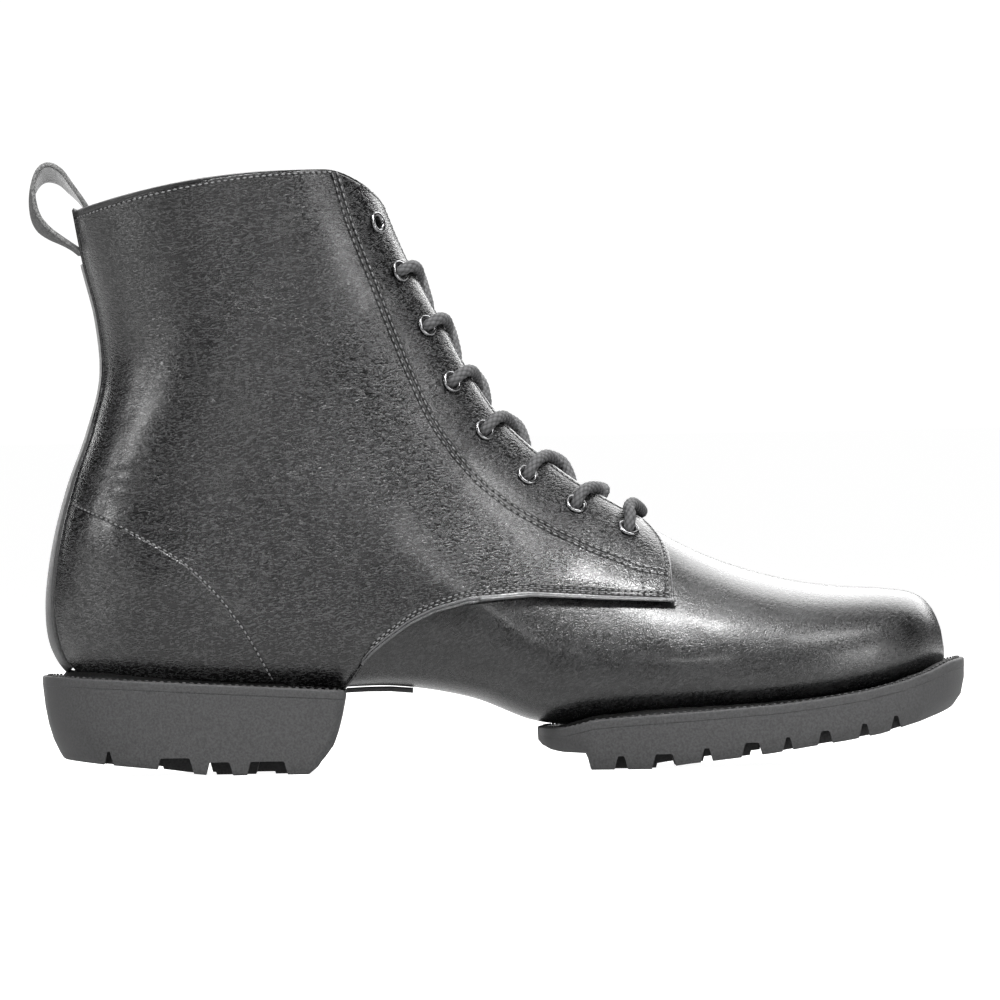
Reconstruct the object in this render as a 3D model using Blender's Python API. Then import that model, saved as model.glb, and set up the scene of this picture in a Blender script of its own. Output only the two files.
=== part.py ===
# Dance boot, right foot: a black lace-up ankle boot with a split, lugged sole.
# Lengths are in millimetres until a mesh is made. +X toe, +Y inner side, +Z up.
import math

import bmesh
import bpy
import numpy as np
from mathutils import Vector

MM = 0.001
GAP = 0.3                  # clear space between pieces that touch
WALL = 1.8                 # upper's wall, leather with its lining
QUARTER_SKIN = 1.2         # leather of the outer quarters
BACKSTAY_SKIN = 1.9        # leather of the strip up the back seam
LAYER = 3.0                # thin layer on top of heel block and forefoot outsole
SOLE_GAP = 0.5             # upper's curved bottom above the layers
SOLE_ACROSS = 7            # faces across the top of a sole layer
INSOLE_THICK = 2.5
INSOLE_GAP = 0.5
TONGUE_THICK = 2.0
TONGUE_GAP = 0.5
TAB_THICK = 1.1
TAB_GAP = 0.8
TAB_HALF = 13.0
TAB_FRONT = -28.5
TAB_ROWS = 4
TAB_COLUMNS = 5
LUG_DEPTH = 4.3
LUG_LENGTH = 17.0          # from the sole's edge inward
CHANNEL = 4.0              # groove between edge lugs and middle lugs
LACE_RADIUS = 1.6
LACE_SIDES = 5
# Height of each crossing's middle over the throat, bottom pair first
LACE_CROWNS = (3.2, 4.0, 4.2, 4.0, 3.4, 2.6, 2.4)
STRAND_PATH = (0.0, 0.8, 1.3, 2.0, 3.0)    # places along a strand's corners
BAR_PATH = (0.0, 0.8, 1.3, 2.0, 2.7, 3.2, 4.0)
STRAND_START = 0.45        # where a strand starts between its eyelet and the facing's edge
# How far each corner of a strand lies from its eyelet toward the next lower pair
STRAND_DROPS = (0.04, 0.12, 0.42, 0.75)
BAR_RISES = (0.04, 0.15)   # the same for the bar of the lowest pair, toward the next higher pair
STRAND_DIP = 0.2           # how far a strand's end lies below the facing
THROAT_CLEAR = 0.3         # sections between the throat's lower end and the lowest strand
TUBE_GUIDE = (0.3, 0.2, 0.93)  # direction that sets a tube's first corner, along no strand
EYELET_SIDES = 8
EYELET_FLANGE = 3.6
EYELET_CREST = 2.9         # radius of the flange's highest ring
EYELET_BARREL = 2.35
EYELET_BORE = 1.95
EYELET_RISE = 0.8
HOLE_RADIUS = 2.75
COLLAR_CORNER = 13.0       # round corner where facing meets collar
LOOP_WIDTH = 17.0
LOOP_THICK = 1.6
LOOP_STEPS = 17
LOOP_SHEAR = 4.5           # how much lower the loop's inner edge hangs than its outer edge
LOOP_LEAN = 0.2            # how far back that edge moves for each part that it hangs lower

# Sections of the last from toe to collar. Each lies in a plane across the boot,
# from a front point on the top outline to a back point on the bottom outline.
SECTION_COLUMNS = ("front_x", "front_z", "back_x", "back_z", "mid", "lateral", "medial",
                   "widest", "low_power", "high_power", "gap", "bow")
SECTIONS = (
    (142.3, 36.5, 142.3, 33.0, 5.0, 3.5, 3.5, 0.50, 2.0, 2.00, 0.8, 0.0),
    (141.0, 43.6, 141.0, 30.9, 5.0, 11.5, 11.0, 0.45, 2.0, 2.00, 2.0, 0.0),
    (137.7, 50.3, 137.7, 28.4, 5.0, 21.0, 20.0, 0.42, 2.3, 2.10, 3.0, 0.0),
    (132.2, 54.3, 132.2, 25.9, 4.8, 29.5, 28.0, 0.40, 2.7, 2.20, 4.0, 0.0),
    (122.2, 55.9, 122.2, 22.9, 4.3, 37.0, 34.5, 0.37, 3.1, 2.20, 5.0, 0.0),
    (109.0, 56.8, 109.0, 20.4, 3.6, 43.0, 39.5, 0.35, 3.4, 2.20, 5.0, 0.0),
    (95.0, 58.7, 95.0, 18.7, 2.8, 47.0, 43.0, 0.33, 3.6, 2.10, 5.0, 0.0),
    (79.5, 62.6, 79.5, 17.3, 2.0, 49.3, 45.0, 0.31, 3.6, 1.95, 5.0, 0.0),
    (63.7, 68.5, 63.7, 16.2, 1.5, 49.5, 45.0, 0.30, 3.6, 1.70, 5.5, 0.0),
    (50.0, 75.8, 48.0, 15.1, 1.0, 48.0, 43.5, 0.29, 3.5, 1.50, 6.5, 0.0),
    (37.0, 83.5, 28.0, 13.9, 0.6, 45.5, 41.5, 0.29, 3.2, 1.38, 7.2, 0.0),
    (24.0, 91.3, 10.0, 15.5, 0.3, 42.5, 39.5, 0.30, 2.9, 1.35, 7.5, 0.0),
    (11.5, 101.0, -10.0, 23.2, 0.0, 39.5, 37.5, 0.33, 2.9, 1.40, 7.6, 0.0),
    (0.8, 111.2, -34.0, 27.3, 0.0, 37.3, 35.8, 0.37, 3.4, 1.55, 7.7, 0.0),
    (-7.2, 122.2, -61.0, 27.0, 0.0, 36.2, 35.2, 0.41, 4.4, 1.75, 7.8, 0.0),
    (-13.2, 132.8, -90.0, 28.0, 0.0, 36.0, 35.5, 0.45, 5.0, 1.90, 7.9, 0.0),
    (-18.0, 142.2, -116.0, 29.6, 0.0, 36.0, 35.6, 0.48, 4.5, 2.00, 8.0, 0.0),
    (-21.9, 149.3, -134.0, 32.4, 0.0, 36.0, 35.7, 0.50, 3.2, 2.10, 8.0, 0.0),
    (-24.9, 154.9, -142.0, 41.0, 0.0, 36.2, 36.0, 0.50, 2.5, 2.20, 8.0, 0.0),
    (-27.5, 159.7, -143.9, 55.0, 0.0, 36.4, 36.2, 0.50, 2.3, 2.25, 8.0, 0.0),
    (-29.7, 164.1, -141.4, 74.0, 0.0, 36.8, 36.6, 0.50, 2.2, 2.30, 8.0, 0.0),
    (-31.6, 168.4, -136.4, 92.5, 0.0, 37.2, 37.0, 0.50, 2.1, 2.30, 8.0, 0.0),
    (-33.4, 172.7, -130.2, 109.0, 0.0, 37.6, 37.4, 0.50, 2.1, 2.35, 8.0, 0.0),
    (-35.1, 177.0, -125.4, 127.5, 0.0, 38.0, 37.9, 0.50, 2.1, 2.40, 8.0, 0.8),
    (-36.9, 181.8, -126.6, 146.5, 0.0, 38.6, 38.5, 0.50, 2.1, 2.40, 8.0, 2.0),
    (-39.2, 187.6, -130.8, 164.5, 0.0, 39.3, 39.2, 0.50, 2.1, 2.40, 8.0, 3.5),
    (-41.3, 192.4, -133.8, 181.5, 0.0, 40.0, 39.9, 0.50, 2.1, 2.40, 8.0, 4.7),
)
COLLAR = float(len(SECTIONS) - 1)
HEEL_CORNER = 17.0         # section at the heel's lower back corner
LOBE = 8.57                # section at the front corner of the quarters
LOBE_ROUND = 0.80          # how many sections the lobe's top lies behind its corner
LOBE_LEAN = 0.2            # share of that which is a straight lean, the rest is a round top
LOBE_POWER = 5             # how late the round top turns back
LOBE_REACH = 1.8           # sections over which rows straighten again
THROAT = 9.8               # section where the upper opens under the lace
TONGUE_TOP = 24.2
BACKSTAY_TOP = 25.0

# Rows of the shared grid, as places between the sections above
ROWS = (0.0, 0.6, 1.3, 2.1, 3.0, 4.2, 5.8, 7.3, LOBE, 9.2, THROAT, 10.6, 11.6, 12.5,
        13.1, 13.6, 14.4, 15.3, 16.2, HEEL_CORNER, 17.35, 18.0, 18.9, 20.0, 21.2, 22.4, 23.3,
        TONGUE_TOP, BACKSTAY_TOP, 25.45, 25.8, COLLAR)
# Columns of the grid, as shares of the girth from the bottom to the quarter's lower edge,
# and from that edge to the facing's edge, closer where the leather turns to the front
LOW_SHARES = (0.0, 0.36, 0.57, 0.77, 1.0)
HIGH_SHARES = (0.0, 0.26, 0.50, 0.70, 0.84, 0.92, 1.0)
LOW_COLUMNS = len(LOW_SHARES) - 1
HIGH_COLUMNS = len(HIGH_SHARES) - 1
OPEN_COLUMNS = 2           # columns left out where a sole closes the bottom
BOTTOM_OPENINGS = ((26.0, 126.0), (-126.0, -62.0))  # from x to x, over the forefoot sole and the heel
INSOLE_FRONT = 2.5         # sections between which the insole lies
INSOLE_BACK = HEEL_CORNER - 0.2
COLUMNS = LOW_COLUMNS + HIGH_COLUMNS

# Lower edge of the quarters from the side, heel to front corner
QUARTER_EDGE = (
    # x, z
    (-160.0, 35.4), (-50.6, 28.8), (-48.6, 31.5), (-44.0, 37.4), (-37.8, 42.1),
    (-29.7, 47.6), (-21.1, 51.4), (-10.8, 54.0), (9.6, 55.1), (32.0, 53.4),
    (55.4, 52.1), (160.0, 48.0),
)
# Half width of the backstay by height
BACKSTAY_HALF = (
    # z, half width
    (30.0, 14.5), (60.0, 14.0), (90.0, 12.0), (130.0, 10.0), (185.0, 9.6),
)
# Eyelets on the outer side, bottom to top
EYELETS = (
    # x, z
    (41.0, 75.4), (24.2, 83.6), (8.7, 93.4), (-5.0, 108.2),
    (-15.3, 124.0), (-23.0, 142.1), (-31.5, 159.8), (-38.4, 175.5),
)
# Forefoot sole seen from above, toe to rear
FOREFOOT_OUTLINE = (
    # x, lateral y, medial y
    (148.7, 2.0, 8.0), (147.4, -7.0, 16.5), (143.6, -17.0, 25.5), (137.0, -27.0, 33.5),
    (132.3, -31.6, 37.0), (127.0, -35.5, 39.8), (120.5, -39.3, 42.4), (113.0, -43.0, 44.8),
    (97.0, -48.3, 48.3), (80.0, -51.3, 49.9),
    (63.0, -52.0, 49.4), (46.0, -50.4, 46.8), (28.0, -45.5, 41.5), (19.5, -38.5, 35.5),
    (13.6, -28.0, 26.5), (11.3, -13.0, 12.5),
)
# Edge of the forefoot sole from the side
FOREFOOT_RIM = (
    # x, z
    (10.0, 13.4), (19.4, 13.6), (24.0, 14.6), (29.0, 15.9), (37.3, 16.6), (49.4, 17.4),
    (64.0, 18.3), (75.5, 19.1), (88.6, 20.0), (102.0, 21.5), (115.8, 23.5), (128.6, 26.4),
    (138.2, 29.5), (144.0, 32.2), (149.0, 33.4),
)
FOREFOOT_BOTTOM = (
    # x, z
    (12.0, 7.2), (15.4, 6.2), (19.5, 5.6), (26.8, 5.3), (28.0, 0.0), (48.0, 0.0), (60.0, 1.6),
    (73.0, 2.9), (87.0, 4.5), (97.0, 6.1), (110.0, 7.9), (121.0, 9.8), (133.5, 13.3),
    (141.0, 16.0), (149.0, 19.4),
)
# Heel seen from above, back to breast
HEEL_OUTLINE = (
    # x, half width
    (-147.3, 4.0), (-146.0, 12.0), (-142.3, 20.0), (-136.0, 27.2), (-126.5, 32.6),
    (-113.5, 35.6), (-100.0, 36.6), (-88.0, 36.8), (-75.0, 36.8), (-62.0, 36.6),
    (-56.5, 36.3), (-53.0, 35.8), (-50.2, 33.5),
)
HEEL_RIM = ((-148.0, 32.6), (-50.0, 26.6))
HEEL_BOTTOM = (
    # x, z
    (-148.0, 7.2), (-141.5, 5.8), (-127.0, 4.0), (-111.0, 2.4), (-101.0, 1.0), (-92.0, 0.0),
    (-62.0, 0.0), (-58.0, 3.2), (-50.0, 5.0),
)
# Side of the sole, top to bottom
SIDE_COLUMNS = ("down", "inset", "back_in", "front_in")
FOREFOOT_SIDE = ((0.0, 0.5, 0.0, 0.0), (0.3, 0.2, 0.0, 0.0), (0.75, 0.5, 0.8, 0.7), (1.0, 1.4, 2.4, 2.6))
HEEL_SIDE = ((0.0, 0.3, 0.0, 0.3), (0.45, 0.3, 0.8, 1.4), (0.8, 0.6, 3.0, 3.6), (1.0, 1.2, 5.2, 7.5))
LAYER_SIDE = ((0.0, 0.3, 0.3, 0.0), (0.35, 0.0, 0.0, 0.0), (1.0, 0.2, 0.0, 0.2))
# Notches in the sole's edges as seen from the outer and the inner side, and bars across its middle.
# Each is its x and its width.
FOREFOOT_NOTCHES_LATERAL = ((37.7, 3.0), (51.4, 6.4), (65.0, 2.6), (79.5, 5.4), (91.0, 2.2),
                            (103.0, 3.6), (115.6, 2.4), (125.8, 2.2))
FOREFOOT_NOTCHES_MEDIAL = ((43.5, 6.4), (58.0, 3.0), (72.0, 5.4), (85.0, 2.6), (97.5, 4.6),
                           (110.0, 2.4), (121.0, 3.0))
FOREFOOT_BARS = ((52.0, 4.6), (67.0, 4.6), (82.0, 4.6), (97.0, 4.6), (111.0, 4.0))
FOREFOOT_CHANNEL = (34.0, 46.0, 60.0, 73.0, 87.0, 97.0, 110.0, 121.0)
HEEL_NOTCHES_LATERAL = ((-126.0, 1.8), (-104.8, 10.4), (-90.6, 7.4), (-75.3, 11.8))
HEEL_NOTCHES_MEDIAL = ((-118.0, 1.8), (-97.0, 5.4), (-83.5, 5.4), (-66.5, 6.6))
HEEL_BARS = ((-112.0, 5.0), (-95.0, 5.0), (-76.0, 5.0))
HEEL_CHANNEL = (-127.0, -111.0, -100.0, -88.0, -66.0)
NOTCH_FLARE = 0.8          # how much wider a notch is at its mouth, each side
NOTCH_OUTSIDE = 6.0        # how far a notch's cutter stands out of the sole's edge
CUT_BELOW = 13.0           # how far a cutter reaches below the tread
# Middle line of the pull loop from its stitched end over the collar to its inner end
LOOP_PATH = (
    # x, z
    (-132.5, 165.9), (-134.0, 169.0), (-137.2, 171.6), (-141.7, 175.2), (-144.8, 179.4),
    (-146.5, 184.2), (-146.8, 190.0), (-145.4, 194.2), (-142.6, 195.9), (-138.3, 194.2),
    (-134.2, 189.8), (-130.3, 185.4), (-128.6, 180.0), (-127.2, 172.5),
)
LATERAL = -1.0
MEDIAL = 1.0
ORIGIN = (-0.1, 1.05, 0.0)  # moves the boot so that its box stands over the origin


# Smooth curve through the rows of a table, at a place counted in rows
def along(table, place):
    rows = np.asarray(table, dtype=float)
    last = len(rows) - 1
    first = min(max(int(math.floor(place)), 0), last - 1)
    t = place - first
    before = rows[max(first - 1, 0)]
    start = rows[first]
    end = rows[first + 1]
    after = rows[min(first + 2, last)]
    slope_start = (end - before) / 2 if first > 0 else end - start
    slope_end = (after - start) / 2 if first + 2 <= last else end - start
    return ((2 * t**3 - 3 * t**2 + 1) * start + (t**3 - 2 * t**2 + t) * slope_start
            + (3 * t**2 - 2 * t**3) * end + (t**3 - t**2) * slope_end)


def lookup(table, key):
    rows = np.asarray(table, dtype=float)
    return float(np.interp(key, rows[:, 0], rows[:, 1]))


def station(s):
    return dict(zip(SECTION_COLUMNS, along(SECTIONS, min(max(s, 0.0), COLLAR))))


DENSE = 48
section_store = {}


# One half of a section: fraction along the chord, distance from the middle and share of the girth
def section(s, side):
    key = (round(s, 5), side)
    if key not in section_store:
        row = station(s)
        half = row["lateral"] if side == LATERAL else row["medial"]
        angle = np.linspace(0.0, math.pi / 2, DENSE)
        sine = np.sin(angle)
        cosine = np.clip(np.cos(angle), 0.0, 1.0)
        low = 2 / row["low_power"]
        high = 2 / row["high_power"]
        fraction = np.concatenate((row["widest"] * (1 - cosine**low),
                                   row["widest"] + (1 - row["widest"]) * sine[1:]**high))
        across = np.concatenate((half * sine**low,
                                 row["gap"] + (half - row["gap"]) * cosine[1:]**high))
        chord = math.hypot(row["front_x"] - row["back_x"], row["front_z"] - row["back_z"])
        steps = np.hypot(np.diff(fraction) * chord, np.diff(across))
        girth = np.concatenate(((0.0,), np.cumsum(steps)))
        section_store[key] = (fraction, across, girth / girth[-1], girth[-1])
    return section_store[key]


# Point of the chord plane at a fraction from back to front
def chord_point(row, a):
    run_x = row["front_x"] - row["back_x"]
    run_z = row["front_z"] - row["back_z"]
    chord = math.hypot(run_x, run_z)
    lift = row["bow"] * 4 * a * (1 - a) / chord
    return row["back_x"] + a * run_x - lift * run_z, row["back_z"] + a * run_z + lift * run_x


def on_upper(s, phi, side):
    row = station(s)
    fraction, across, share, _ = section(s, side)
    a = float(np.interp(phi, share, fraction))
    x, z = chord_point(row, a)
    y = row["mid"] + side * float(np.interp(phi, share, across))
    return np.array((x, y, z))


# Outward direction of the upper's surface
def outward(s, phi, side):
    step = 0.02
    ds = on_upper(min(s + step, COLLAR), phi, side) - on_upper(max(s - step, 0.0), phi, side)
    dphi = on_upper(s, min(phi + step, 1.0), side) - on_upper(s, max(phi - step, 0.0), side)
    normal = np.cross(ds, dphi)
    normal = normal / np.linalg.norm(normal)
    row = station(s)
    x, z = chord_point(row, 0.5)
    inside = np.array((x, row["mid"], z))
    return normal if np.dot(normal, on_upper(s, phi, side) - inside) > 0 else -normal


def lifted(s, phi, side, height):
    return on_upper(s, phi, side) + outward(s, phi, side) * height


# Middle of the top outline, between the facings
def ridge(s, height):
    row = station(s)
    point = lifted(s, 1.0, LATERAL, height)
    return np.array((point[0], row["mid"], point[2]))


# Section and chord fraction of a point seen from the side
def locate(x, z):
    def miss(s):
        row = station(s)
        run = np.array((row["front_x"] - row["back_x"], row["front_z"] - row["back_z"]))
        chord = np.linalg.norm(run)
        offset = np.array((x - row["back_x"], z - row["back_z"]))
        a = float(np.dot(offset, run)) / chord**2
        side_step = (run[0] * offset[1] - run[1] * offset[0]) / chord
        return side_step - row["bow"] * 4 * a * (1 - a), a
    low, high = 0.0, COLLAR
    for _ in range(40):
        middle = (low + high) / 2
        if miss(middle)[0] > 0:
            low = middle
        else:
            high = middle
    return low, miss(low)[1]


def share_at(s, a, side):
    fraction, _, share, _ = section(s, side)
    return float(np.interp(a, fraction, share))


# Share of the girth at the quarter's lower edge, or at the backstay's edge behind the heel
def low_share(s, side):
    s = max(s, LOBE)
    row = station(s)
    low, high = 0.0, 0.9
    x, z = chord_point(row, 0.0)
    if z < lookup(QUARTER_EDGE, x):
        for _ in range(40):
            middle = (low + high) / 2
            x, z = chord_point(row, middle)
            if z < lookup(QUARTER_EDGE, x):
                low = middle
            else:
                high = middle
    edge = share_at(s, low, side)
    if s < HEEL_CORNER - 1:
        return edge
    girth = section(s, side)[3]
    return max(edge, lookup(BACKSTAY_HALF, row["back_z"]) / girth)


# Share of the girth at the facing's edge, less where the collar's corner is round
def top_share(s, side):
    row = station(s)
    chord = math.hypot(row["front_x"] - row["back_x"], row["front_z"] - row["back_z"])
    end = station(COLLAR)
    below = math.hypot(end["front_x"] - row["front_x"], end["front_z"] - row["front_z"])
    if below >= COLLAR_CORNER:
        return 1.0
    inset = COLLAR_CORNER - math.sqrt(max(COLLAR_CORNER**2 - (COLLAR_CORNER - below)**2, 0.0))
    return share_at(s, 1 - inset / chord, side)


# Grid place of a row and column, with rows bent to the front lobe of the quarters
def grid_place(s_row, column, side):
    rise = HIGH_SHARES[max(column - LOW_COLUMNS, 0)]
    bend = max(0.0, 1 - abs(s_row - LOBE) / LOBE_REACH)
    s = s_row + bend * LOBE_ROUND * (LOBE_LEAN * rise + (1 - LOBE_LEAN) * rise**LOBE_POWER)
    low = low_share(s, side)
    if column <= LOW_COLUMNS:
        return s, low * LOW_SHARES[column]
    return s, low + (top_share(s, side) - low) * rise


def place_at(s_row, column, side, height, slide=0.0):
    s, phi = grid_place(s_row, column, side)
    phi = phi + slide / section(s, side)[3]
    return lifted(s, phi, side, height)


# Height of the upper's bottom over a point of the floor, or None beside it
def under(x, y):
    target = x
    s = 0.0
    a = 0.0
    for _ in range(8):
        low, high = 0.0, HEEL_CORNER + 0.8
        for _ in range(30):
            middle = (low + high) / 2
            if station(middle)["back_x"] > target:
                low = middle
            else:
                high = middle
        s = low
        row = station(s)
        half = row["lateral"] if y < row["mid"] else row["medial"]
        reach = abs(y - row["mid"]) / half
        if reach > 0.97:
            return None
        a = row["widest"] * (1 - (1 - reach**row["low_power"])**(1 / row["low_power"]))
        target = x - a * (row["front_x"] - row["back_x"])
    return chord_point(station(s), a)[1]


def clear_scene():
    for item in list(bpy.data.objects):
        bpy.data.objects.remove(item, do_unlink=True)


materials = {}


def finish(name, color, roughness, metallic=0.0):
    material = bpy.data.materials.new(name)
    material.use_nodes = True
    shader = material.node_tree.nodes["Principled BSDF"]
    shader.inputs["Base Color"].default_value = (*color, 1.0)
    shader.inputs["Roughness"].default_value = roughness
    shader.inputs["Metallic"].default_value = metallic
    materials[name] = material


def add_mesh(name, points, faces, material):
    mesh = bpy.data.meshes.new(name)
    moved = [tuple((np.asarray(p) + ORIGIN) * MM) for p in points]
    mesh.from_pydata(moved, [], [tuple(f) for f in faces])
    work = bmesh.new()
    work.from_mesh(mesh)
    bmesh.ops.remove_doubles(work, verts=work.verts, dist=1e-7)
    bmesh.ops.recalc_face_normals(work, faces=work.faces)
    if work.calc_volume(signed=True) < 0:
        bmesh.ops.reverse_faces(work, faces=work.faces)
    work.to_mesh(mesh)
    work.free()
    item = bpy.data.objects.new(name, mesh)
    bpy.context.scene.collection.objects.link(item)
    if material:
        mesh.materials.append(materials[material])
    return item


# Closed wall between two sets of points that share their cells. Each cell is split along the line
# from its first to its third corner, so that walls laid over each other have parallel faces.
def wall(name, outer, inner, cells, material):
    count = len(outer)
    halves = []
    for cell in cells:
        if len(cell) == 4:
            halves += [cell[:3], [cell[0], cell[2], cell[3]]]
        else:
            halves.append(cell)
    faces = [tuple(cell) for cell in halves]
    faces += [tuple(index + count for index in reversed(cell)) for cell in halves]
    edges = {}
    for cell in cells:
        for start, end in zip(cell, cell[1:] + cell[:1]):
            edges[(start, end)] = edges.get((start, end), 0) + 1
    for start, end in edges:
        if (end, start) not in edges:
            faces.append((end, start, start + count, end + count))
    return add_mesh(name, list(outer) + list(inner), faces, material)


def cut(item, cutter, operation="DIFFERENCE"):
    modifier = item.modifiers.new(operation.lower(), "BOOLEAN")
    modifier.operation = operation
    modifier.solver = "EXACT"
    modifier.object = cutter
    cutter.hide_render = True
    cutter.display_type = "WIRE"


# Cells of a grid stored row by row, each split from its higher column to the lower one of the next row
def grid_cells(row_count, heights):
    cells = []
    count = len(heights)
    for i in range(row_count - 1):
        for j in range(count - 1):
            corner = i * count + j
            cell = [corner, corner + 1, corner + count + 1, corner + count]
            cells.append(cell if heights[j] >= heights[j + 1] else cell[1:] + cell[:1])
    return cells


# A loop of the upper: bottom middle, outer side up, ridge, inner side down
def upper_loop(s_row, height):
    s_top = grid_place(s_row, COLUMNS, LATERAL)[0]
    loop = [place_at(s_row, column, LATERAL, height) for column in range(COLUMNS + 1)]
    loop.append(ridge(s_top, height))
    loop += [place_at(s_row, column, MEDIAL, height) for column in range(COLUMNS, 0, -1)]
    return loop


# Bottom cells are left out where the forefoot sole and the heel close the upper
def bottom_open(s_row):
    back_x = station(s_row)["back_x"]
    return any(start < back_x < end for start, end in BOTTOM_OPENINGS)


def make_upper():
    outer = []
    inner = []
    for s_row in ROWS:
        outer += upper_loop(s_row, 0.0)
        inner += upper_loop(s_row, -WALL)
    around = 2 * COLUMNS + 2
    cells = [list(range(around))]
    for i in range(len(ROWS) - 1):
        closed_bottom = not (bottom_open(ROWS[i]) and bottom_open(ROWS[i + 1]))
        for j in range(around):
            from_bottom = min(j, around - 1 - j)
            if from_bottom < OPEN_COLUMNS and not closed_bottom:
                continue
            if j in (COLUMNS, COLUMNS + 1) and ROWS[i] >= THROAT:
                continue
            after = (j + 1) % around
            cell = [i * around + after, i * around + j,
                    (i + 1) * around + j, (i + 1) * around + after]
            cells.append(cell if j <= COLUMNS else cell[1:] + cell[:1])
    return wall("upper", outer, inner, cells, "black_leather")


def make_quarter(name, side):
    rows = [s_row for s_row in ROWS if s_row >= LOBE]
    outer = []
    inner = []
    for s_row in rows:
        for column in range(LOW_COLUMNS, COLUMNS + 1):
            slide = GAP if column == LOW_COLUMNS else 0.0
            outer.append(place_at(s_row, column, side, GAP + QUARTER_SKIN, slide))
            inner.append(place_at(s_row, column, side, GAP, slide))
    return wall(name, outer, inner, grid_cells(len(rows), range(HIGH_COLUMNS + 1)), "black_leather")


# A strip across the middle of the upper from columns counted from the bottom
def strip_points(s_row, columns, height, slide):
    edge = max(columns)
    points = [place_at(s_row, column, LATERAL, height, slide if column == edge else 0.0)
              for column in reversed(columns)]
    points += [place_at(s_row, column, MEDIAL, height, slide if column == edge else 0.0)
               for column in columns if column > 0]
    return points


def make_strip(name, rows, columns, top, bottom, slide, material):
    outer = []
    inner = []
    for s_row in rows:
        outer += strip_points(s_row, columns, top, slide)
        inner += strip_points(s_row, columns, bottom, slide)
    heights = list(reversed(columns)) + [column for column in columns if column > 0]
    return wall(name, outer, inner, grid_cells(len(rows), heights), material)


def make_backstay():
    rows = [s_row for s_row in ROWS if HEEL_CORNER < s_row <= BACKSTAY_TOP]
    columns = list(range(0, LOW_COLUMNS + 1))
    return make_strip("backstay", rows, columns, GAP + BACKSTAY_SKIN, GAP, -GAP, "black_leather")


def make_insole():
    rows = [s_row for s_row in ROWS if INSOLE_FRONT < s_row < INSOLE_BACK]
    top = -WALL - INSOLE_GAP - INSOLE_THICK
    return make_strip("insole", rows, [0, 2, 3], -WALL - INSOLE_GAP, top, 0.0, "lining")


def make_tongue():
    rows = [s_row for s_row in ROWS if THROAT - 1 < s_row <= TONGUE_TOP]
    columns = (COLUMNS - 2, COLUMNS - 1, COLUMNS)
    outer_height = -WALL - TONGUE_GAP
    outer = []
    inner = []
    for s_row in rows:
        s_top = grid_place(s_row, COLUMNS, LATERAL)[0]
        for points, height in ((outer, outer_height), (inner, outer_height - TONGUE_THICK)):
            points += [place_at(s_row, column, LATERAL, height) for column in columns]
            points.append(ridge(s_top, height))
            points += [place_at(s_row, column, MEDIAL, height) for column in reversed(columns)]
    heights = list(columns) + [COLUMNS + 1] + list(reversed(columns))
    return wall("tongue", outer, inner, grid_cells(len(rows), heights), "lining")


# Sole layer over a ladder of rows, with its side drawn in rings from top to bottom
def make_ladder(name, rows, top, bottom, side_rows, across, material):
    count = len(rows)
    back_x = min(row[0] for row in rows)
    front_x = max(row[0] for row in rows)
    edge = [(row[0], row[1]) for row in rows] + [(row[0], row[2]) for row in reversed(rows)]
    total = len(edge)
    points = []
    for values in side_rows:
        step = dict(zip(SIDE_COLUMNS, values))
        for index, (x, y) in enumerate(edge):
            before = edge[index - 1]
            after = edge[(index + 1) % total]
            run = np.array((after[0] - before[0], after[1] - before[1]))
            normal = np.array((run[1], -run[0])) / np.linalg.norm(run)
            centre = np.array(((back_x + front_x) / 2, 0.0))
            if np.dot(normal, np.array((x, y)) - centre) < 0:
                normal = -normal
            share = (x - back_x) / (front_x - back_x)
            px = x - normal[0] * step["inset"] + step["back_in"] * (1 - share) - step["front_in"] * share
            py = y - normal[1] * step["inset"]
            upper_z = top(x, y)
            points.append((px, py, upper_z + step["down"] * (bottom(px, py) - upper_z)))
    faces = []
    for ring in range(len(side_rows) - 1):
        for index in range(total):
            after = (index + 1) % total
            faces.append((ring * total + index, ring * total + after,
                          (ring + 1) * total + after, (ring + 1) * total + index))
    lines = []
    for i in range(count):
        first, last = i, total - 1 - i
        line = [first]
        for k in range(1, across):
            t = k / across
            x = points[first][0]
            y = points[first][1] * (1 - t) + points[last][1] * t
            line.append(len(points))
            points.append((x, y, top(x, y)))
        lines.append(line + [last])
    for i in range(count - 1):
        for k in range(across):
            faces.append((lines[i][k], lines[i][k + 1], lines[i + 1][k + 1], lines[i + 1][k]))
    low = (len(side_rows) - 1) * total
    for i in range(count - 1):
        faces.append((low + i, low + i + 1, low + total - 2 - i, low + total - 1 - i))
    faces += [tuple(lines[0]), tuple(lines[-1])]
    return add_mesh(name, points, faces, material)


# Bars and notches of the tread, as wedges that widen downward
def make_wedges(name, wedges, floor):
    points = []
    faces = []
    for x, width, y_from, y_to in wedges:
        base = len(points)
        root = floor(x) + LUG_DEPTH
        for z, half in ((root, width / 2), (floor(x) - CUT_BELOW, width / 2 + NOTCH_FLARE)):
            points += [(x - half, y_from, z), (x + half, y_from, z),
                       (x + half, y_to, z), (x - half, y_to, z)]
        corners = ((0, 1, 2, 3), (4, 5, 6, 7), (0, 1, 5, 4), (1, 2, 6, 5), (2, 3, 7, 6), (3, 0, 4, 7))
        faces += [tuple(base + index for index in face) for face in corners]
    return add_mesh(name, points, faces, None)


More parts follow.
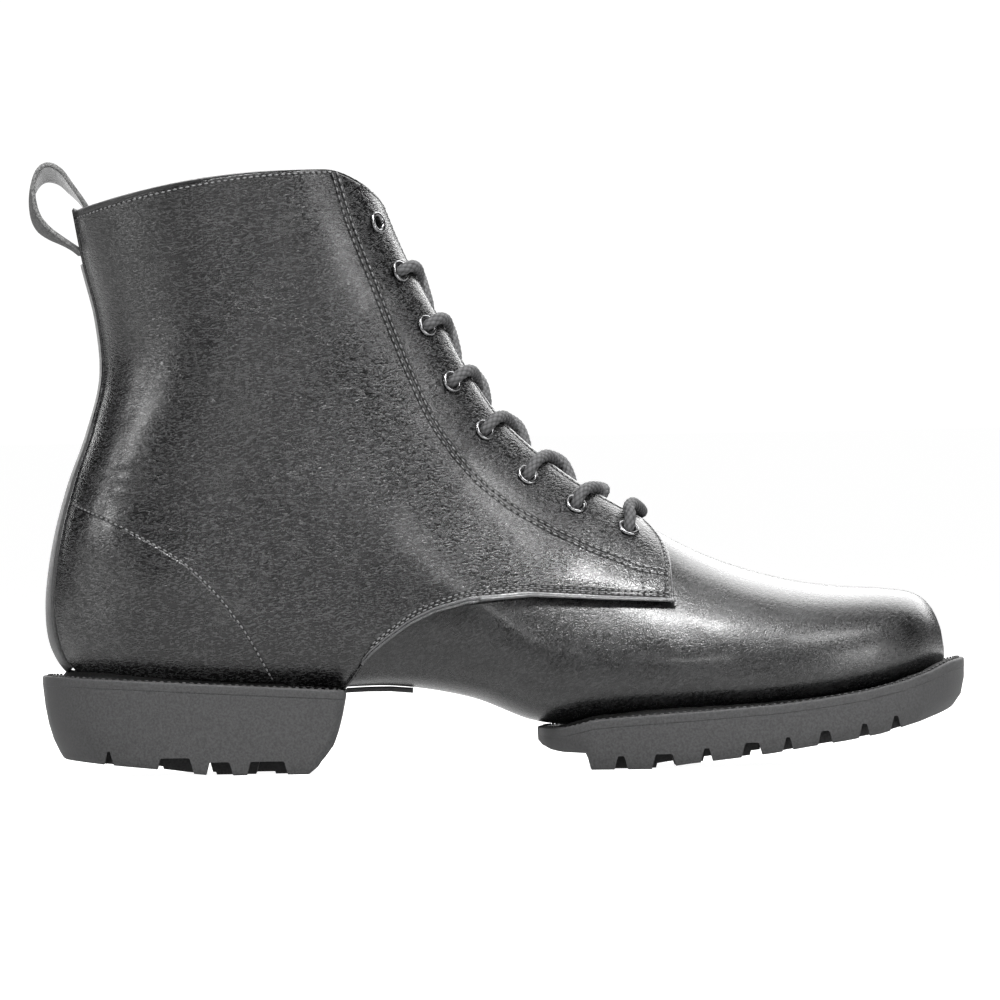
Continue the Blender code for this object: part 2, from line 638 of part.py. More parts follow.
# Grooves that follow the sole's edge between its outer and middle lugs
def make_channels(name, lines, floor):
    points = []
    faces = []
    for line in lines:
        base = len(points)
        for x, y in line:
            for z, half in ((floor(x) + LUG_DEPTH, CHANNEL / 2),
                            (floor(x) - CUT_BELOW, CHANNEL / 2 + NOTCH_FLARE / 2)):
                points += [(x, y - half, z), (x, y + half, z)]
        for i in range(len(line) - 1):
            a = base + 4 * i
            b = a + 4
            faces += [(a, a + 1, b + 1, b), (a + 2, a + 3, b + 3, b + 2),
                      (a, a + 2, b + 2, b), (a + 1, a + 3, b + 3, b + 1)]
        end = base + 4 * (len(line) - 1)
        faces += [(base, base + 1, base + 3, base + 2), (end, end + 1, end + 3, end + 2)]
    return add_mesh(name, points, faces, None)


def outline_at(rows, x):
    table = np.asarray(rows, dtype=float)
    table = table[np.argsort(table[:, 0])]
    return (float(np.interp(x, table[:, 0], table[:, 1])), float(np.interp(x, table[:, 0], table[:, 2])))


def cut_tread(item, rows, bottom, lateral, medial, bars, channel):
    def floor(x):
        return bottom(x, 0.0)
    inside = LUG_LENGTH + CHANNEL / 2
    notches = []
    for x, width in lateral:
        edge = outline_at(rows, x)[0]
        notches.append((x, width, edge - NOTCH_OUTSIDE, edge + inside))
    for x, width in medial:
        edge = outline_at(rows, x)[1]
        notches.append((x, width, edge - inside, edge + NOTCH_OUTSIDE))
    middle = []
    for x, width in bars:
        edges = outline_at(rows, x)
        middle.append((x, width, edges[0] + inside, edges[1] - inside))
    lines = [[(x, outline_at(rows, x)[0] + inside) for x in channel],
             [(x, outline_at(rows, x)[1] - inside) for x in channel]]
    cut(item, make_channels(item.name + "_channel_cutter", lines, floor))
    cut(item, make_wedges(item.name + "_notch_cutter", notches, floor))
    cut(item, make_wedges(item.name + "_bar_cutter", middle, floor))


# Top of a layer: just under the upper's bottom, and never above the sole's edge
def layer_top(rim):
    def height(x, y):
        above = under(x, y)
        edge = lookup(rim, x)
        return edge if above is None else min(above - SOLE_GAP, edge)
    return height


def lower_by(height, amount):
    return lambda x, y: height(x, y) - amount


def make_soles():
    forefoot_top = layer_top(FOREFOOT_RIM)
    heel_top = layer_top(HEEL_RIM)
    heel_rows = [(x, -half, half) for x, half in HEEL_OUTLINE]
    make_ladder("forefoot_midsole", FOREFOOT_OUTLINE, forefoot_top, lower_by(forefoot_top, LAYER),
                LAYER_SIDE, SOLE_ACROSS, "rubber")
    make_ladder("heel_seat", heel_rows, heel_top, lower_by(heel_top, LAYER), LAYER_SIDE, SOLE_ACROSS, "rubber")
    outsole = make_ladder("forefoot_outsole", FOREFOOT_OUTLINE, lower_by(forefoot_top, LAYER + GAP),
                          lambda x, y: lookup(FOREFOOT_BOTTOM, x), FOREFOOT_SIDE, SOLE_ACROSS, "rubber")
    heel = make_ladder("heel_block", heel_rows, lower_by(heel_top, LAYER + GAP),
                       lambda x, y: lookup(HEEL_BOTTOM, x), HEEL_SIDE, SOLE_ACROSS, "rubber")
    cut_tread(outsole, FOREFOOT_OUTLINE, lambda x, y: lookup(FOREFOOT_BOTTOM, x),
              FOREFOOT_NOTCHES_LATERAL, FOREFOOT_NOTCHES_MEDIAL, FOREFOOT_BARS, FOREFOOT_CHANNEL)
    cut_tread(heel, heel_rows, lambda x, y: lookup(HEEL_BOTTOM, x),
              HEEL_NOTCHES_LATERAL, HEEL_NOTCHES_MEDIAL, HEEL_BARS, HEEL_CHANNEL)


def make_waist_tab():
    start = HEEL_OUTLINE[-1][0] + GAP
    outer = []
    inner = []
    for x in np.linspace(start, TAB_FRONT, TAB_ROWS):
        for y in np.linspace(-TAB_HALF, TAB_HALF, TAB_COLUMNS):
            z = under(x, y) - TAB_GAP
            outer.append((x, y, z))
            inner.append((x, y, z - TAB_THICK))
    wall("waist_tab", outer, inner, grid_cells(TAB_ROWS, range(TAB_COLUMNS)), "rubber")


# Tube of few sides along a path
def make_tube(name, path, radius, sides, material):
    centres = [np.asarray(p, dtype=float) for p in path]
    points = []
    faces = []
    guide = np.array(TUBE_GUIDE)
    for i, centre in enumerate(centres):
        run = centres[min(i + 1, len(centres) - 1)] - centres[max(i - 1, 0)]
        run = run / np.linalg.norm(run)
        across = np.cross(run, guide)
        across = across / np.linalg.norm(across)
        up = np.cross(across, run)
        for k in range(sides):
            turn = 2 * math.pi * k / sides
            points.append(centre + radius * (math.cos(turn) * across + math.sin(turn) * up))
    for i in range(len(centres) - 1):
        for k in range(sides):
            after = (k + 1) % sides
            faces.append((i * sides + k, i * sides + after, (i + 1) * sides + after, (i + 1) * sides + k))
    faces.append(tuple(range(sides)))
    faces.append(tuple((len(centres) - 1) * sides + k for k in range(sides)))
    return add_mesh(name, points, faces, material)


def eyelet_place(index):
    s, a = locate(*EYELETS[index])
    return s, share_at(s, a, LATERAL)


# Ring with a flange outside and a barrel through the wall, turned about the surface's outward line
def make_eyelet(name, index, side):
    s, phi = eyelet_place(index)
    centre = on_upper(s, phi, side)
    axis = outward(s, phi, side)
    seat = GAP + QUARTER_SKIN + GAP
    profile = ((EYELET_BARREL, -0.5 * WALL), (EYELET_BARREL, seat), (EYELET_FLANGE, seat),
               (EYELET_CREST, seat + EYELET_RISE), (EYELET_BORE, seat + EYELET_RISE / 2),
               (EYELET_BORE, -0.5 * WALL))
    turn = Vector((0, 0, 1)).rotation_difference(Vector(axis)).to_matrix()
    points = []
    faces = []
    for k in range(EYELET_SIDES):
        angle = 2 * math.pi * k / EYELET_SIDES
        for radius, height in profile:
            local = Vector((radius * math.cos(angle), radius * math.sin(angle), height))
            points.append(centre + np.array(turn @ local))
    size = len(profile)
    for k in range(EYELET_SIDES):
        after = (k + 1) % EYELET_SIDES
        for j in range(size):
            next_j = (j + 1) % size
            faces.append((k * size + j, k * size + next_j, after * size + next_j, after * size + j))
    return add_mesh(name, points, faces, "eyelet_metal")


# Round cutters for the eyelet holes of one side
def make_hole_cutter(name, side):
    points = []
    faces = []
    for index in range(len(EYELETS)):
        s, phi = eyelet_place(index)
        centre = on_upper(s, phi, side)
        axis = outward(s, phi, side)
        turn = Vector((0, 0, 1)).rotation_difference(Vector(axis)).to_matrix()
        base = len(points)
        for height in (-3 * WALL, 3 * WALL):
            for k in range(EYELET_SIDES):
                angle = 2 * math.pi * (k + 0.5) / EYELET_SIDES
                local = Vector((HOLE_RADIUS * math.cos(angle), HOLE_RADIUS * math.sin(angle), height))
                points.append(centre + np.array(turn @ local))
        for k in range(EYELET_SIDES):
            after = (k + 1) % EYELET_SIDES
            faces.append((base + k, base + after, base + EYELET_SIDES + after, base + EYELET_SIDES + k))
        faces.append(tuple(base + k for k in range(EYELET_SIDES)))
        faces.append(tuple(base + EYELET_SIDES + k for k in range(EYELET_SIDES)))
    return add_mesh(name, points, faces, None)


# Height of a strand's middle that lies on the facing
def strand_height():
    return GAP + QUARTER_SKIN + GAP + LACE_RADIUS


# Strand from beside an eyelet, over the facing's edge, down across the throat to the other facing
def strand_path(index, side):
    s, phi = eyelet_place(index)
    drop = eyelet_place(index - 1)[0] - s
    start, edge, middle, end = [s + share * drop for share in STRAND_DROPS]
    end = max(end, grid_place(THROAT, COLUMNS, side)[0] + THROAT_CLEAR)
    middle = max(middle, end)
    row = station(end)
    last = ridge(end, -STRAND_DIP)
    last[1] = row["mid"] - side * (row["gap"] - LACE_RADIUS - 2 * GAP)
    corners = [lifted(start, phi + STRAND_START * (1 - phi), side, strand_height()),
               lifted(edge, 1.0, side, strand_height() + GAP),
               ridge(middle, LACE_CROWNS[index]), last]
    return [along(corners, place) for place in STRAND_PATH]


# Bar that joins the lowest pair of eyelets over both facings
def bar_path():
    s, phi = eyelet_place(0)
    start, edge = [s + share * (eyelet_place(1)[0] - s) for share in BAR_RISES]
    halves = {}
    for side in (LATERAL, MEDIAL):
        halves[side] = [lifted(start, phi + STRAND_START * (1 - phi), side, strand_height()),
                        lifted(edge, 1.0, side, strand_height() + GAP)]
    corners = halves[LATERAL] + [ridge(edge, strand_height() + 2 * GAP)] + halves[MEDIAL][::-1]
    return [along(corners, place) for place in BAR_PATH]


def make_lace():
    make_tube("lace_crossing_1", bar_path(), LACE_RADIUS, LACE_SIDES, "lace")
    for index in range(1, len(LACE_CROWNS)):
        name = "lace_crossing_" + str(index + 1)
        first = make_tube(name, strand_path(index, LATERAL), LACE_RADIUS, LACE_SIDES, "lace")
        second = make_tube(name + "_other", strand_path(index, MEDIAL), LACE_RADIUS, LACE_SIDES, None)
        cut(first, second, "UNION")


# Leather loop: a flat strip swept along its path, its inner edge hanging lower where it is free
def make_pull_loop():
    places = np.linspace(0.0, len(LOOP_PATH) - 1, LOOP_STEPS)
    centres = [along(LOOP_PATH, t) for t in places]
    outer = []
    inner = []
    for i, centre in enumerate(centres):
        run = centres[min(i + 1, len(centres) - 1)] - centres[max(i - 1, 0)]
        run = run / np.linalg.norm(run)
        normal = np.array((-run[1], run[0]))
        t = i / (len(centres) - 1)
        hang = LOOP_SHEAR * math.sin(math.pi * t)**2
        for y, drop in ((-LOOP_WIDTH / 2, 0.0), (LOOP_WIDTH / 2, -hang)):
            for points, offset in ((outer, LOOP_THICK / 2), (inner, -LOOP_THICK / 2)):
                x = centre[0] + normal[0] * offset + LOOP_LEAN * drop
                z = centre[1] + normal[1] * offset + drop
                points.append((x, y, z))
    wall("pull_loop", outer, inner, grid_cells(len(centres), (0, 1)), "black_leather")


def build():
    clear_scene()
    finish("black_leather", (0.012, 0.012, 0.013), 0.42)
    finish("lining", (0.05, 0.048, 0.045), 0.8)
    finish("rubber", (0.03, 0.03, 0.031), 0.7)
    finish("eyelet_metal", (0.42, 0.42, 0.43), 0.3, 1.0)
    finish("lace", (0.03, 0.03, 0.032), 0.8)
    upper = make_upper()
    for side, word in ((LATERAL, "lateral"), (MEDIAL, "medial")):
        quarter = make_quarter("quarter_" + word, side)
        holes = make_hole_cutter("hole_cutter_" + word, side)
        cut(quarter, holes)
        cut(upper, holes)
        for index in range(len(EYELETS)):
            make_eyelet("eyelet_" + word + "_" + str(index + 1), index, side)
    make_backstay()
    make_insole()
    make_tongue()
    make_soles()
    make_waist_tab()
    make_pull_loop()
    make_lace()


build()
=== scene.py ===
import math

import bmesh
import bpy
import numpy as np
from mathutils import Matrix, Vector


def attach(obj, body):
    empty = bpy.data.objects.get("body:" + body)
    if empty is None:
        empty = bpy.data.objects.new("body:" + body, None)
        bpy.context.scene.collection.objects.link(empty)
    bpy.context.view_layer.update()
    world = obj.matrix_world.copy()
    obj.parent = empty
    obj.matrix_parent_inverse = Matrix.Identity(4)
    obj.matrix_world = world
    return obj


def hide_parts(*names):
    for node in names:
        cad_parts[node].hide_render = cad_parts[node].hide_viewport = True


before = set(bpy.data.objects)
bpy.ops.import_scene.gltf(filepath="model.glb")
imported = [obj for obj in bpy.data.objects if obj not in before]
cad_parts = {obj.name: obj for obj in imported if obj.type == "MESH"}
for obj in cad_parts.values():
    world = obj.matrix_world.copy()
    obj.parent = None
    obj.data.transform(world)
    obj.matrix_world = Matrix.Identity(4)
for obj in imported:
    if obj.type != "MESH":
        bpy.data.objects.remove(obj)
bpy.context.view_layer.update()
mm = 0.001
outerSide = -1.0    # the side that faces the camera
innerSide = 1.0
print("frame loaded")


# sections of the last, the same that the solids are drawn from, in millimetres
last = {
    "origin": (-0.1, 1.05, 0.0),
    "columns": ("frontX", "frontZ", "backX", "backZ", "mid", "outer", "inner",
                "widest", "lowPower", "highPower", "gap", "bow"),
    "sections": (
        (142.3, 36.5, 142.3, 33.0, 5.0, 3.5, 3.5, 0.50, 2.0, 2.00, 0.8, 0.0),
        (141.0, 43.6, 141.0, 30.9, 5.0, 11.5, 11.0, 0.45, 2.0, 2.00, 2.0, 0.0),
        (137.7, 50.3, 137.7, 28.4, 5.0, 21.0, 20.0, 0.42, 2.3, 2.10, 3.0, 0.0),
        (132.2, 54.3, 132.2, 25.9, 4.8, 29.5, 28.0, 0.40, 2.7, 2.20, 4.0, 0.0),
        (122.2, 55.9, 122.2, 22.9, 4.3, 37.0, 34.5, 0.37, 3.1, 2.20, 5.0, 0.0),
        (109.0, 56.8, 109.0, 20.4, 3.6, 43.0, 39.5, 0.35, 3.4, 2.20, 5.0, 0.0),
        (95.0, 58.7, 95.0, 18.7, 2.8, 47.0, 43.0, 0.33, 3.6, 2.10, 5.0, 0.0),
        (79.5, 62.6, 79.5, 17.3, 2.0, 49.3, 45.0, 0.31, 3.6, 1.95, 5.0, 0.0),
        (63.7, 68.5, 63.7, 16.2, 1.5, 49.5, 45.0, 0.30, 3.6, 1.70, 5.5, 0.0),
        (50.0, 75.8, 48.0, 15.1, 1.0, 48.0, 43.5, 0.29, 3.5, 1.50, 6.5, 0.0),
        (37.0, 83.5, 28.0, 13.9, 0.6, 45.5, 41.5, 0.29, 3.2, 1.38, 7.2, 0.0),
        (24.0, 91.3, 10.0, 15.5, 0.3, 42.5, 39.5, 0.30, 2.9, 1.35, 7.5, 0.0),
        (11.5, 101.0, -10.0, 23.2, 0.0, 39.5, 37.5, 0.33, 2.9, 1.40, 7.6, 0.0),
        (0.8, 111.2, -34.0, 27.3, 0.0, 37.3, 35.8, 0.37, 3.4, 1.55, 7.7, 0.0),
        (-7.2, 122.2, -61.0, 27.0, 0.0, 36.2, 35.2, 0.41, 4.4, 1.75, 7.8, 0.0),
        (-13.2, 132.8, -90.0, 28.0, 0.0, 36.0, 35.5, 0.45, 5.0, 1.90, 7.9, 0.0),
        (-18.0, 142.2, -116.0, 29.6, 0.0, 36.0, 35.6, 0.48, 4.5, 2.00, 8.0, 0.0),
        (-21.9, 149.3, -134.0, 32.4, 0.0, 36.0, 35.7, 0.50, 3.2, 2.10, 8.0, 0.0),
        (-24.9, 154.9, -142.0, 41.0, 0.0, 36.2, 36.0, 0.50, 2.5, 2.20, 8.0, 0.0),
        (-27.5, 159.7, -143.9, 55.0, 0.0, 36.4, 36.2, 0.50, 2.3, 2.25, 8.0, 0.0),
        (-29.7, 164.1, -141.4, 74.0, 0.0, 36.8, 36.6, 0.50, 2.2, 2.30, 8.0, 0.0),
        (-31.6, 168.4, -136.4, 92.5, 0.0, 37.2, 37.0, 0.50, 2.1, 2.30, 8.0, 0.0),
        (-33.4, 172.7, -130.2, 109.0, 0.0, 37.6, 37.4, 0.50, 2.1, 2.35, 8.0, 0.0),
        (-35.1, 177.0, -125.4, 127.5, 0.0, 38.0, 37.9, 0.50, 2.1, 2.40, 8.0, 0.8),
        (-36.9, 181.8, -126.6, 146.5, 0.0, 38.6, 38.5, 0.50, 2.1, 2.40, 8.0, 2.0),
        (-39.2, 187.6, -130.8, 164.5, 0.0, 39.3, 39.2, 0.50, 2.1, 2.40, 8.0, 3.5),
        (-41.3, 192.4, -133.8, 181.5, 0.0, 40.0, 39.9, 0.50, 2.1, 2.40, 8.0, 4.7),
    ),
    "perSection": 20,       # rows of the finished surface for each section
    "around": 181,          # points from the sole's middle to the facing's edge
    "gap": 0.3,             # between pieces laid over each other
    "wall": 1.8,
    "collarCorner": 13.0,
    "heelCorner": 17.0,
    "throat": 9.8,
}
collar = float(len(last["sections"]) - 1)


# smooth curve through the rows of a table, at a place counted in rows
def along(table, place):
    rows = np.asarray(table, dtype=float)
    end = len(rows) - 1
    first = min(max(int(math.floor(place)), 0), end - 1)
    t = place - first
    before = rows[max(first - 1, 0)]
    a = rows[first]
    b = rows[first + 1]
    after = rows[min(first + 2, end)]
    slopeA = (b - before) / 2 if first > 0 else b - a
    slopeB = (after - a) / 2 if first + 2 <= end else b - a
    return ((2 * t**3 - 3 * t**2 + 1) * a + (t**3 - 2 * t**2 + t) * slopeA
            + (3 * t**2 - 2 * t**3) * b + (t**3 - t**2) * slopeB)


def smoothPath(points, count):
    return np.array([along(points, t) for t in np.linspace(0, len(points) - 1, count)])


def unit(vectors):
    return vectors / np.linalg.norm(vectors, axis=-1)[..., None]


# length of a path up to each of its points
def lengthAlong(path):
    return np.concatenate(((0.0,), np.cumsum(np.linalg.norm(np.diff(path, axis=0), axis=1))))


# points of a path at lengths along it
def pointsAt(at, length, path):
    return np.stack([np.interp(at, length, path[:, k]) for k in range(3)], 1)


def station(s):
    return dict(zip(last["columns"], along(last["sections"], min(max(s, 0.0), collar))))


def halfSection(row, side):
    half = row["outer"] if side == outerSide else row["inner"]
    angle = np.linspace(0.0, math.pi / 2, 72)
    sine = np.sin(angle)
    cosine = np.clip(np.cos(angle), 0.0, 1.0)
    low = 2 / row["lowPower"]
    high = 2 / row["highPower"]
    fraction = np.concatenate((row["widest"] * (1 - cosine**low),
                               row["widest"] + (1 - row["widest"]) * sine[1:]**high))
    across = np.concatenate((half * sine**low, row["gap"] + (half - row["gap"]) * cosine[1:]**high))
    chord = math.hypot(row["frontX"] - row["backX"], row["frontZ"] - row["backZ"])
    girth = np.concatenate(((0.0,), np.cumsum(np.hypot(np.diff(fraction) * chord, np.diff(across)))))
    return fraction, across, girth / girth[-1], girth[-1]


def chordPoint(row, a):
    runX = row["frontX"] - row["backX"]
    runZ = row["frontZ"] - row["backZ"]
    lift = row["bow"] * 4 * a * (1 - a) / math.hypot(runX, runZ)
    return row["backX"] + a * runX - lift * runZ, row["backZ"] + a * runZ + lift * runX


def buildSide(side):
    places = np.linspace(0.0, collar, int(collar) * last["perSection"] + 1)
    shares = np.linspace(0.0, 1.0, last["around"])
    points = np.zeros((len(places), len(shares), 3))
    girths = np.zeros(len(places))
    for i, s in enumerate(places):
        row = station(s)
        fraction, across, share, girths[i] = halfSection(row, side)
        x, z = chordPoint(row, np.interp(shares, share, fraction))
        points[i] = np.stack((x, row["mid"] + side * np.interp(shares, share, across), z), 1)
    normals = unit(np.cross(np.gradient(points, axis=0), np.gradient(points, axis=1)))
    middle = points.mean(axis=1, keepdims=True)
    middle[..., 1] = points[:, :1, 1]
    facing = np.sign(np.sum(normals * (points - middle), axis=2).sum())
    return {"places": places, "points": points, "normals": normals * facing, "girths": girths}


surface = {side: buildSide(side) for side in (outerSide, innerSide)}


# points of the last at places s and girth shares phi, raised by height along the surface's normal
def onLast(side, s, phi, height=0.0):
    s = np.atleast_1d(np.asarray(s, dtype=float))
    phi = np.atleast_1d(np.asarray(phi, dtype=float))
    s, phi = np.broadcast_arrays(s, phi)
    i = np.clip(s, 0.0, collar) * last["perSection"]
    j = np.clip(phi, 0.0, 1.0) * (last["around"] - 1)
    i0 = np.minimum(i.astype(int), len(surface[side]["places"]) - 2)
    j0 = np.minimum(j.astype(int), last["around"] - 2)
    fi = (i - i0)[..., None]
    fj = (j - j0)[..., None]

    def blend(grid):
        return ((1 - fi) * ((1 - fj) * grid[i0, j0] + fj * grid[i0, j0 + 1])
                + fi * ((1 - fj) * grid[i0 + 1, j0] + fj * grid[i0 + 1, j0 + 1]))
    normal = unit(blend(surface[side]["normals"]))
    return blend(surface[side]["points"]) + normal * np.asarray(height, dtype=float)[..., None], normal


def pointOn(side, s, phi, height):
    return onLast(side, s, phi, height)[0][0]


def girthAt(side, s):
    return np.interp(s, surface[side]["places"], surface[side]["girths"])


# place and girth share of a point seen from the side
def locate(x, z):
    grid = surface[outerSide]["points"]
    gap = (grid[:, :, 0] - x)**2 + (grid[:, :, 2] - z)**2
    i, j = np.unravel_index(np.argmin(gap), gap.shape)
    i = min(max(i, 1), grid.shape[0] - 2)
    j = min(max(j, 1), grid.shape[1] - 2)
    here = grid[i, j]
    ds = (grid[i + 1, j] - grid[i - 1, j]) / 2
    dp = (grid[i, j + 1] - grid[i, j - 1]) / 2
    slopes = np.array(((ds[0], dp[0]), (ds[2], dp[2])))
    step = np.linalg.solve(slopes, np.array((x - here[0], z - here[2])))
    step = np.clip(step, -1.5, 1.5)
    return (i + step[0]) / last["perSection"], (j + step[1]) / (last["around"] - 1)


def tableAt(table, key):
    rows = np.asarray(table, dtype=float)
    return np.interp(key, rows[:, 0], rows[:, 1])


quarter = {
    "skin": 1.2,
    "lobe": 8.57,            # section at the front corner
    "lobeRound": 0.80,
    "lobeLean": 0.2,
    "lobePower": 5,
    "lobeReach": 1.8,
    "rows": 290,
    "columns": 92,
    "softEdge": 0.6,         # how far in the cut edge is rounded
    "edgeDrop": 0.35,
    "roll": 0.40,            # how high the turned edge stands
    "lowerEdge": (           # x, z
        (-160.0, 35.4), (-50.6, 28.8), (-48.6, 31.5), (-44.0, 37.4), (-37.8, 42.1),
        (-29.7, 47.6), (-21.1, 51.4), (-10.8, 54.0), (9.6, 55.1), (32.0, 53.4),
        (55.4, 52.1), (160.0, 48.0)),
}
backstay = {
    "skin": 1.9,
    "start": 0.35,           # sections above the heel's corner
    "top": 25.0,
    "rows": 150,
    "columns": 28,
    "softEdge": 1.0,
    "edgeDrop": 0.6,
    "halfWidth": (           # z, half width
        (30.0, 14.5), (60.0, 14.0), (90.0, 12.0), (130.0, 10.0), (185.0, 9.6)),
}


# girth shares of the quarter's lower edge and of its top edge along the last
def edgeShares(side):
    low = []
    high = []
    shares = np.linspace(0.0, 1.0, last["around"])
    end = station(collar)
    corner = last["collarCorner"]
    for s in surface[side]["places"]:
        row = station(max(s, quarter["lobe"]))
        fraction, _, share, girth = halfSection(row, side)
        x, z = chordPoint(row, np.interp(shares, share, fraction))
        above = z - tableAt(quarter["lowerEdge"], x)
        over = np.nonzero(above >= 0)[0]
        k = over[0] if len(over) else 0
        edge = 0.0
        if k > 0:
            edge = shares[k - 1] - above[k - 1] / (above[k] - above[k - 1]) * (shares[k] - shares[k - 1])
        if s >= last["heelCorner"] - 1:
            edge = max(edge, tableAt(backstay["halfWidth"], row["backZ"]) / girth)
        low.append(edge)
        row = station(s)
        below = math.hypot(end["frontX"] - row["frontX"], end["frontZ"] - row["frontZ"])
        inset = 0.0
        if below < corner:
            inset = corner - math.sqrt(max(corner**2 - (corner - below)**2, 0.0))
        fraction, _, share, _ = halfSection(row, side)
        chord = math.hypot(row["frontX"] - row["backX"], row["frontZ"] - row["backZ"])
        high.append(np.interp(1 - inset / chord, fraction, share))
    return np.array(low), np.array(high)


edges = {side: edgeShares(side) for side in (outerSide, innerSide)}


def lowShare(side, s):
    return np.interp(s, surface[side]["places"], edges[side][0])


def topShare(side, s):
    return np.interp(s, surface[side]["places"], edges[side][1])


# rows bent forward to the quarter's lobe
def bentRow(s, rise):
    bend = np.maximum(0.0, 1 - np.abs(s - quarter["lobe"]) / quarter["lobeReach"])
    lean = quarter["lobeLean"]
    return s + bend * quarter["lobeRound"] * (lean * rise + (1 - lean) * rise**quarter["lobePower"])


# rows spread evenly over the length between the sole's outline and the top outline
def evenRows(start, stop, count, outlineShare=0.6):
    s = np.linspace(start, stop, 800)
    path = np.array([[station(v)[key] for key in ("frontX", "frontZ", "backX", "backZ")] for v in s])
    front = np.hypot(np.diff(path[:, 0]), np.diff(path[:, 1]))
    back = np.hypot(np.diff(path[:, 2]), np.diff(path[:, 3]))
    total = np.concatenate(((0.0,), np.cumsum((1 - outlineShare) * front + outlineShare * back)))
    return np.interp(np.linspace(0, total[-1], count), total, s)


# soft folds of the leather: troughs with raised lips from x, z to x, z, with bow, width and depth
creases = {
    "troughs": (
        (-106.8, 159.7, -48.0, 149.1, -1.2, 1.3, 0.13), (-108.5, 155.3, -52.9, 144.4, 1.6, 1.3, 0.15),
        (-92.7, 143.9, -45.0, 141.4, -0.8, 1.2, 0.13), (-124.2, 168.6, -105.1, 163.2, 0.8, 1.2, 0.14),
        (-119.8, 145.0, -96.0, 139.1, 0.8, 1.2, 0.14), (-89.4, 150.8, -62.4, 146.2, 1.0, 1.1, 0.13),
        (-71.9, 153.7, -40.1, 146.8, -1.2, 1.2, 0.13), (-130.2, 94.8, -106.3, 96.9, 1.5, 1.1, 0.22),
        (-130.9, 91.6, -111.2, 92.6, 1.2, 1.0, 0.20), (-95.7, 68.1, -81.6, 53.5, 1.4, 1.1, 0.16),
        (-94.1, 63.3, -80.0, 50.3, 1.4, 1.0, 0.16), (-82.0, 96.0, -52.0, 104.0, -2.0, 1.4, 0.12),
        (-76.0, 60.0, -58.0, 74.0, 2.0, 1.4, 0.12),
        (31.4, 46.1, 21.7, 35.8, 0.8, 0.9, 0.16), (27.6, 44.3, 18.4, 33.6, 0.8, 0.9, 0.17),
        (23.4, 43.7, 13.7, 32.7, 0.8, 1.0, 0.17), (35.2, 45.1, 26.5, 36.6, 0.8, 0.9, 0.14),
        (19.2, 42.2, 10.5, 31.8, 0.8, 0.9, 0.14), (57.0, 48.0, 62.0, 34.0, 2.0, 4.0, 0.20),
        (80.0, 46.0, 84.0, 34.0, 1.5, 4.0, 0.12)),
    "swells": (              # x, z, reach in x, reach in z, height
        (48.9, 42.6, 9.0, 9.0, 0.35), (70.2, 41.6, 10.0, 9.0, 0.35), (91.9, 42.5, 11.0, 8.0, 0.2),
        (-62.8, 180.0, 11.0, 18.0, 0.9), (-83.4, 169.0, 9.0, 20.0, -0.8), (-22.7, 105.0, 9.0, 12.0, 0.6),
        (-121.0, 112.0, 7.0, 14.0, 0.35), (-111.0, 128.0, 8.0, 18.0, -0.4), (-82.0, 96.0, 14.0, 14.0, -0.5),
        (31.0, 60.0, 14.0, 6.0, 0.4), (-122.0, 75.0, 12.0, 9.0, 1.3), (-107.0, 63.0, 13.0, 10.0, 1.5)),
    "wrinkled": (            # x, z, reach in x, reach in z
        (-75.0, 150.0, 34.0, 11.0), (-116.0, 94.0, 16.0, 9.0), (-86.0, 60.0, 14.0, 14.0),
        (-112.0, 163.0, 16.0, 10.0), (-60.0, 86.0, 30.0, 16.0)),
}


def foldHeight(points):
    x = points[..., 0]
    z = points[..., 2]
    height = np.zeros(x.shape)
    for x0, z0, x1, z1, bow, width, depth in creases["troughs"]:
        run = np.array((x1 - x0, z1 - z0))
        length = np.linalg.norm(run)
        run = run / length
        t = ((x - x0) * run[0] + (z - z0) * run[1]) / length
        away = (x - x0) * -run[1] + (z - z0) * run[0] - bow * 4 * t * (1 - t)
        fade = np.where((t > 0) & (t < 1), np.sin(math.pi * np.clip(t, 0, 1))**2, 0.0)
        lips = np.exp(-((np.abs(away) - 1.9 * width) / width)**2)
        height += depth * fade * (0.45 * lips - np.exp(-(away / width)**2))
    for cx, cz, reachX, reachZ, rise in creases["swells"]:
        height += rise * np.exp(-((x - cx) / reachX)**2 - ((z - cz) / reachZ)**2)
    return height


# how strongly fine wrinkles show, 0 to 1
def wrinkleAt(points):
    amount = np.zeros(points.shape[:-1])
    for cx, cz, reachX, reachZ in creases["wrinkled"]:
        near = np.exp(-((points[..., 0] - cx) / reachX)**2 - ((points[..., 2] - cz) / reachZ)**2)
        amount = np.maximum(amount, near)
    return amount


# signed distance from a line drawn in the side view
def lineDistance(points, line):
    x = points[..., 0]
    z = points[..., 2]
    best = np.full(x.shape, 1e9)
    for (x0, z0), (x1, z1) in zip(line[:-1], line[1:]):
        run = np.array((x1 - x0, z1 - z0))
        length = np.linalg.norm(run)
        run = run / length
        t = np.clip((x - x0) * run[0] + (z - z0) * run[1], 0, length)
        dx = x - x0 - t * run[0]
        dz = z - z0 - t * run[1]
        gap = np.hypot(dx, dz) * np.where(run[0] * dz - run[1] * dx >= 0, 1.0, -1.0)
        best = np.where(np.abs(gap) < np.abs(best), gap, best)
    return best


def meshFrom(name, bm):
    mesh = bpy.data.meshes.new(name)
    bm.to_mesh(mesh)
    bm.free()
    return mesh


def addObject(name, data):
    thing = bpy.data.objects.new(name, data)
    bpy.context.scene.collection.objects.link(thing)
    return thing


def finishMesh(name, bm, nodes, materials):
    mesh = meshFrom(name, bm)
    mesh.shade_smooth()
    piece = addObject(name, mesh)
    for material in materials:
        mesh.materials.append(material)
    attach(piece, "root")
    if nodes:
        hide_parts(*nodes)
    return piece


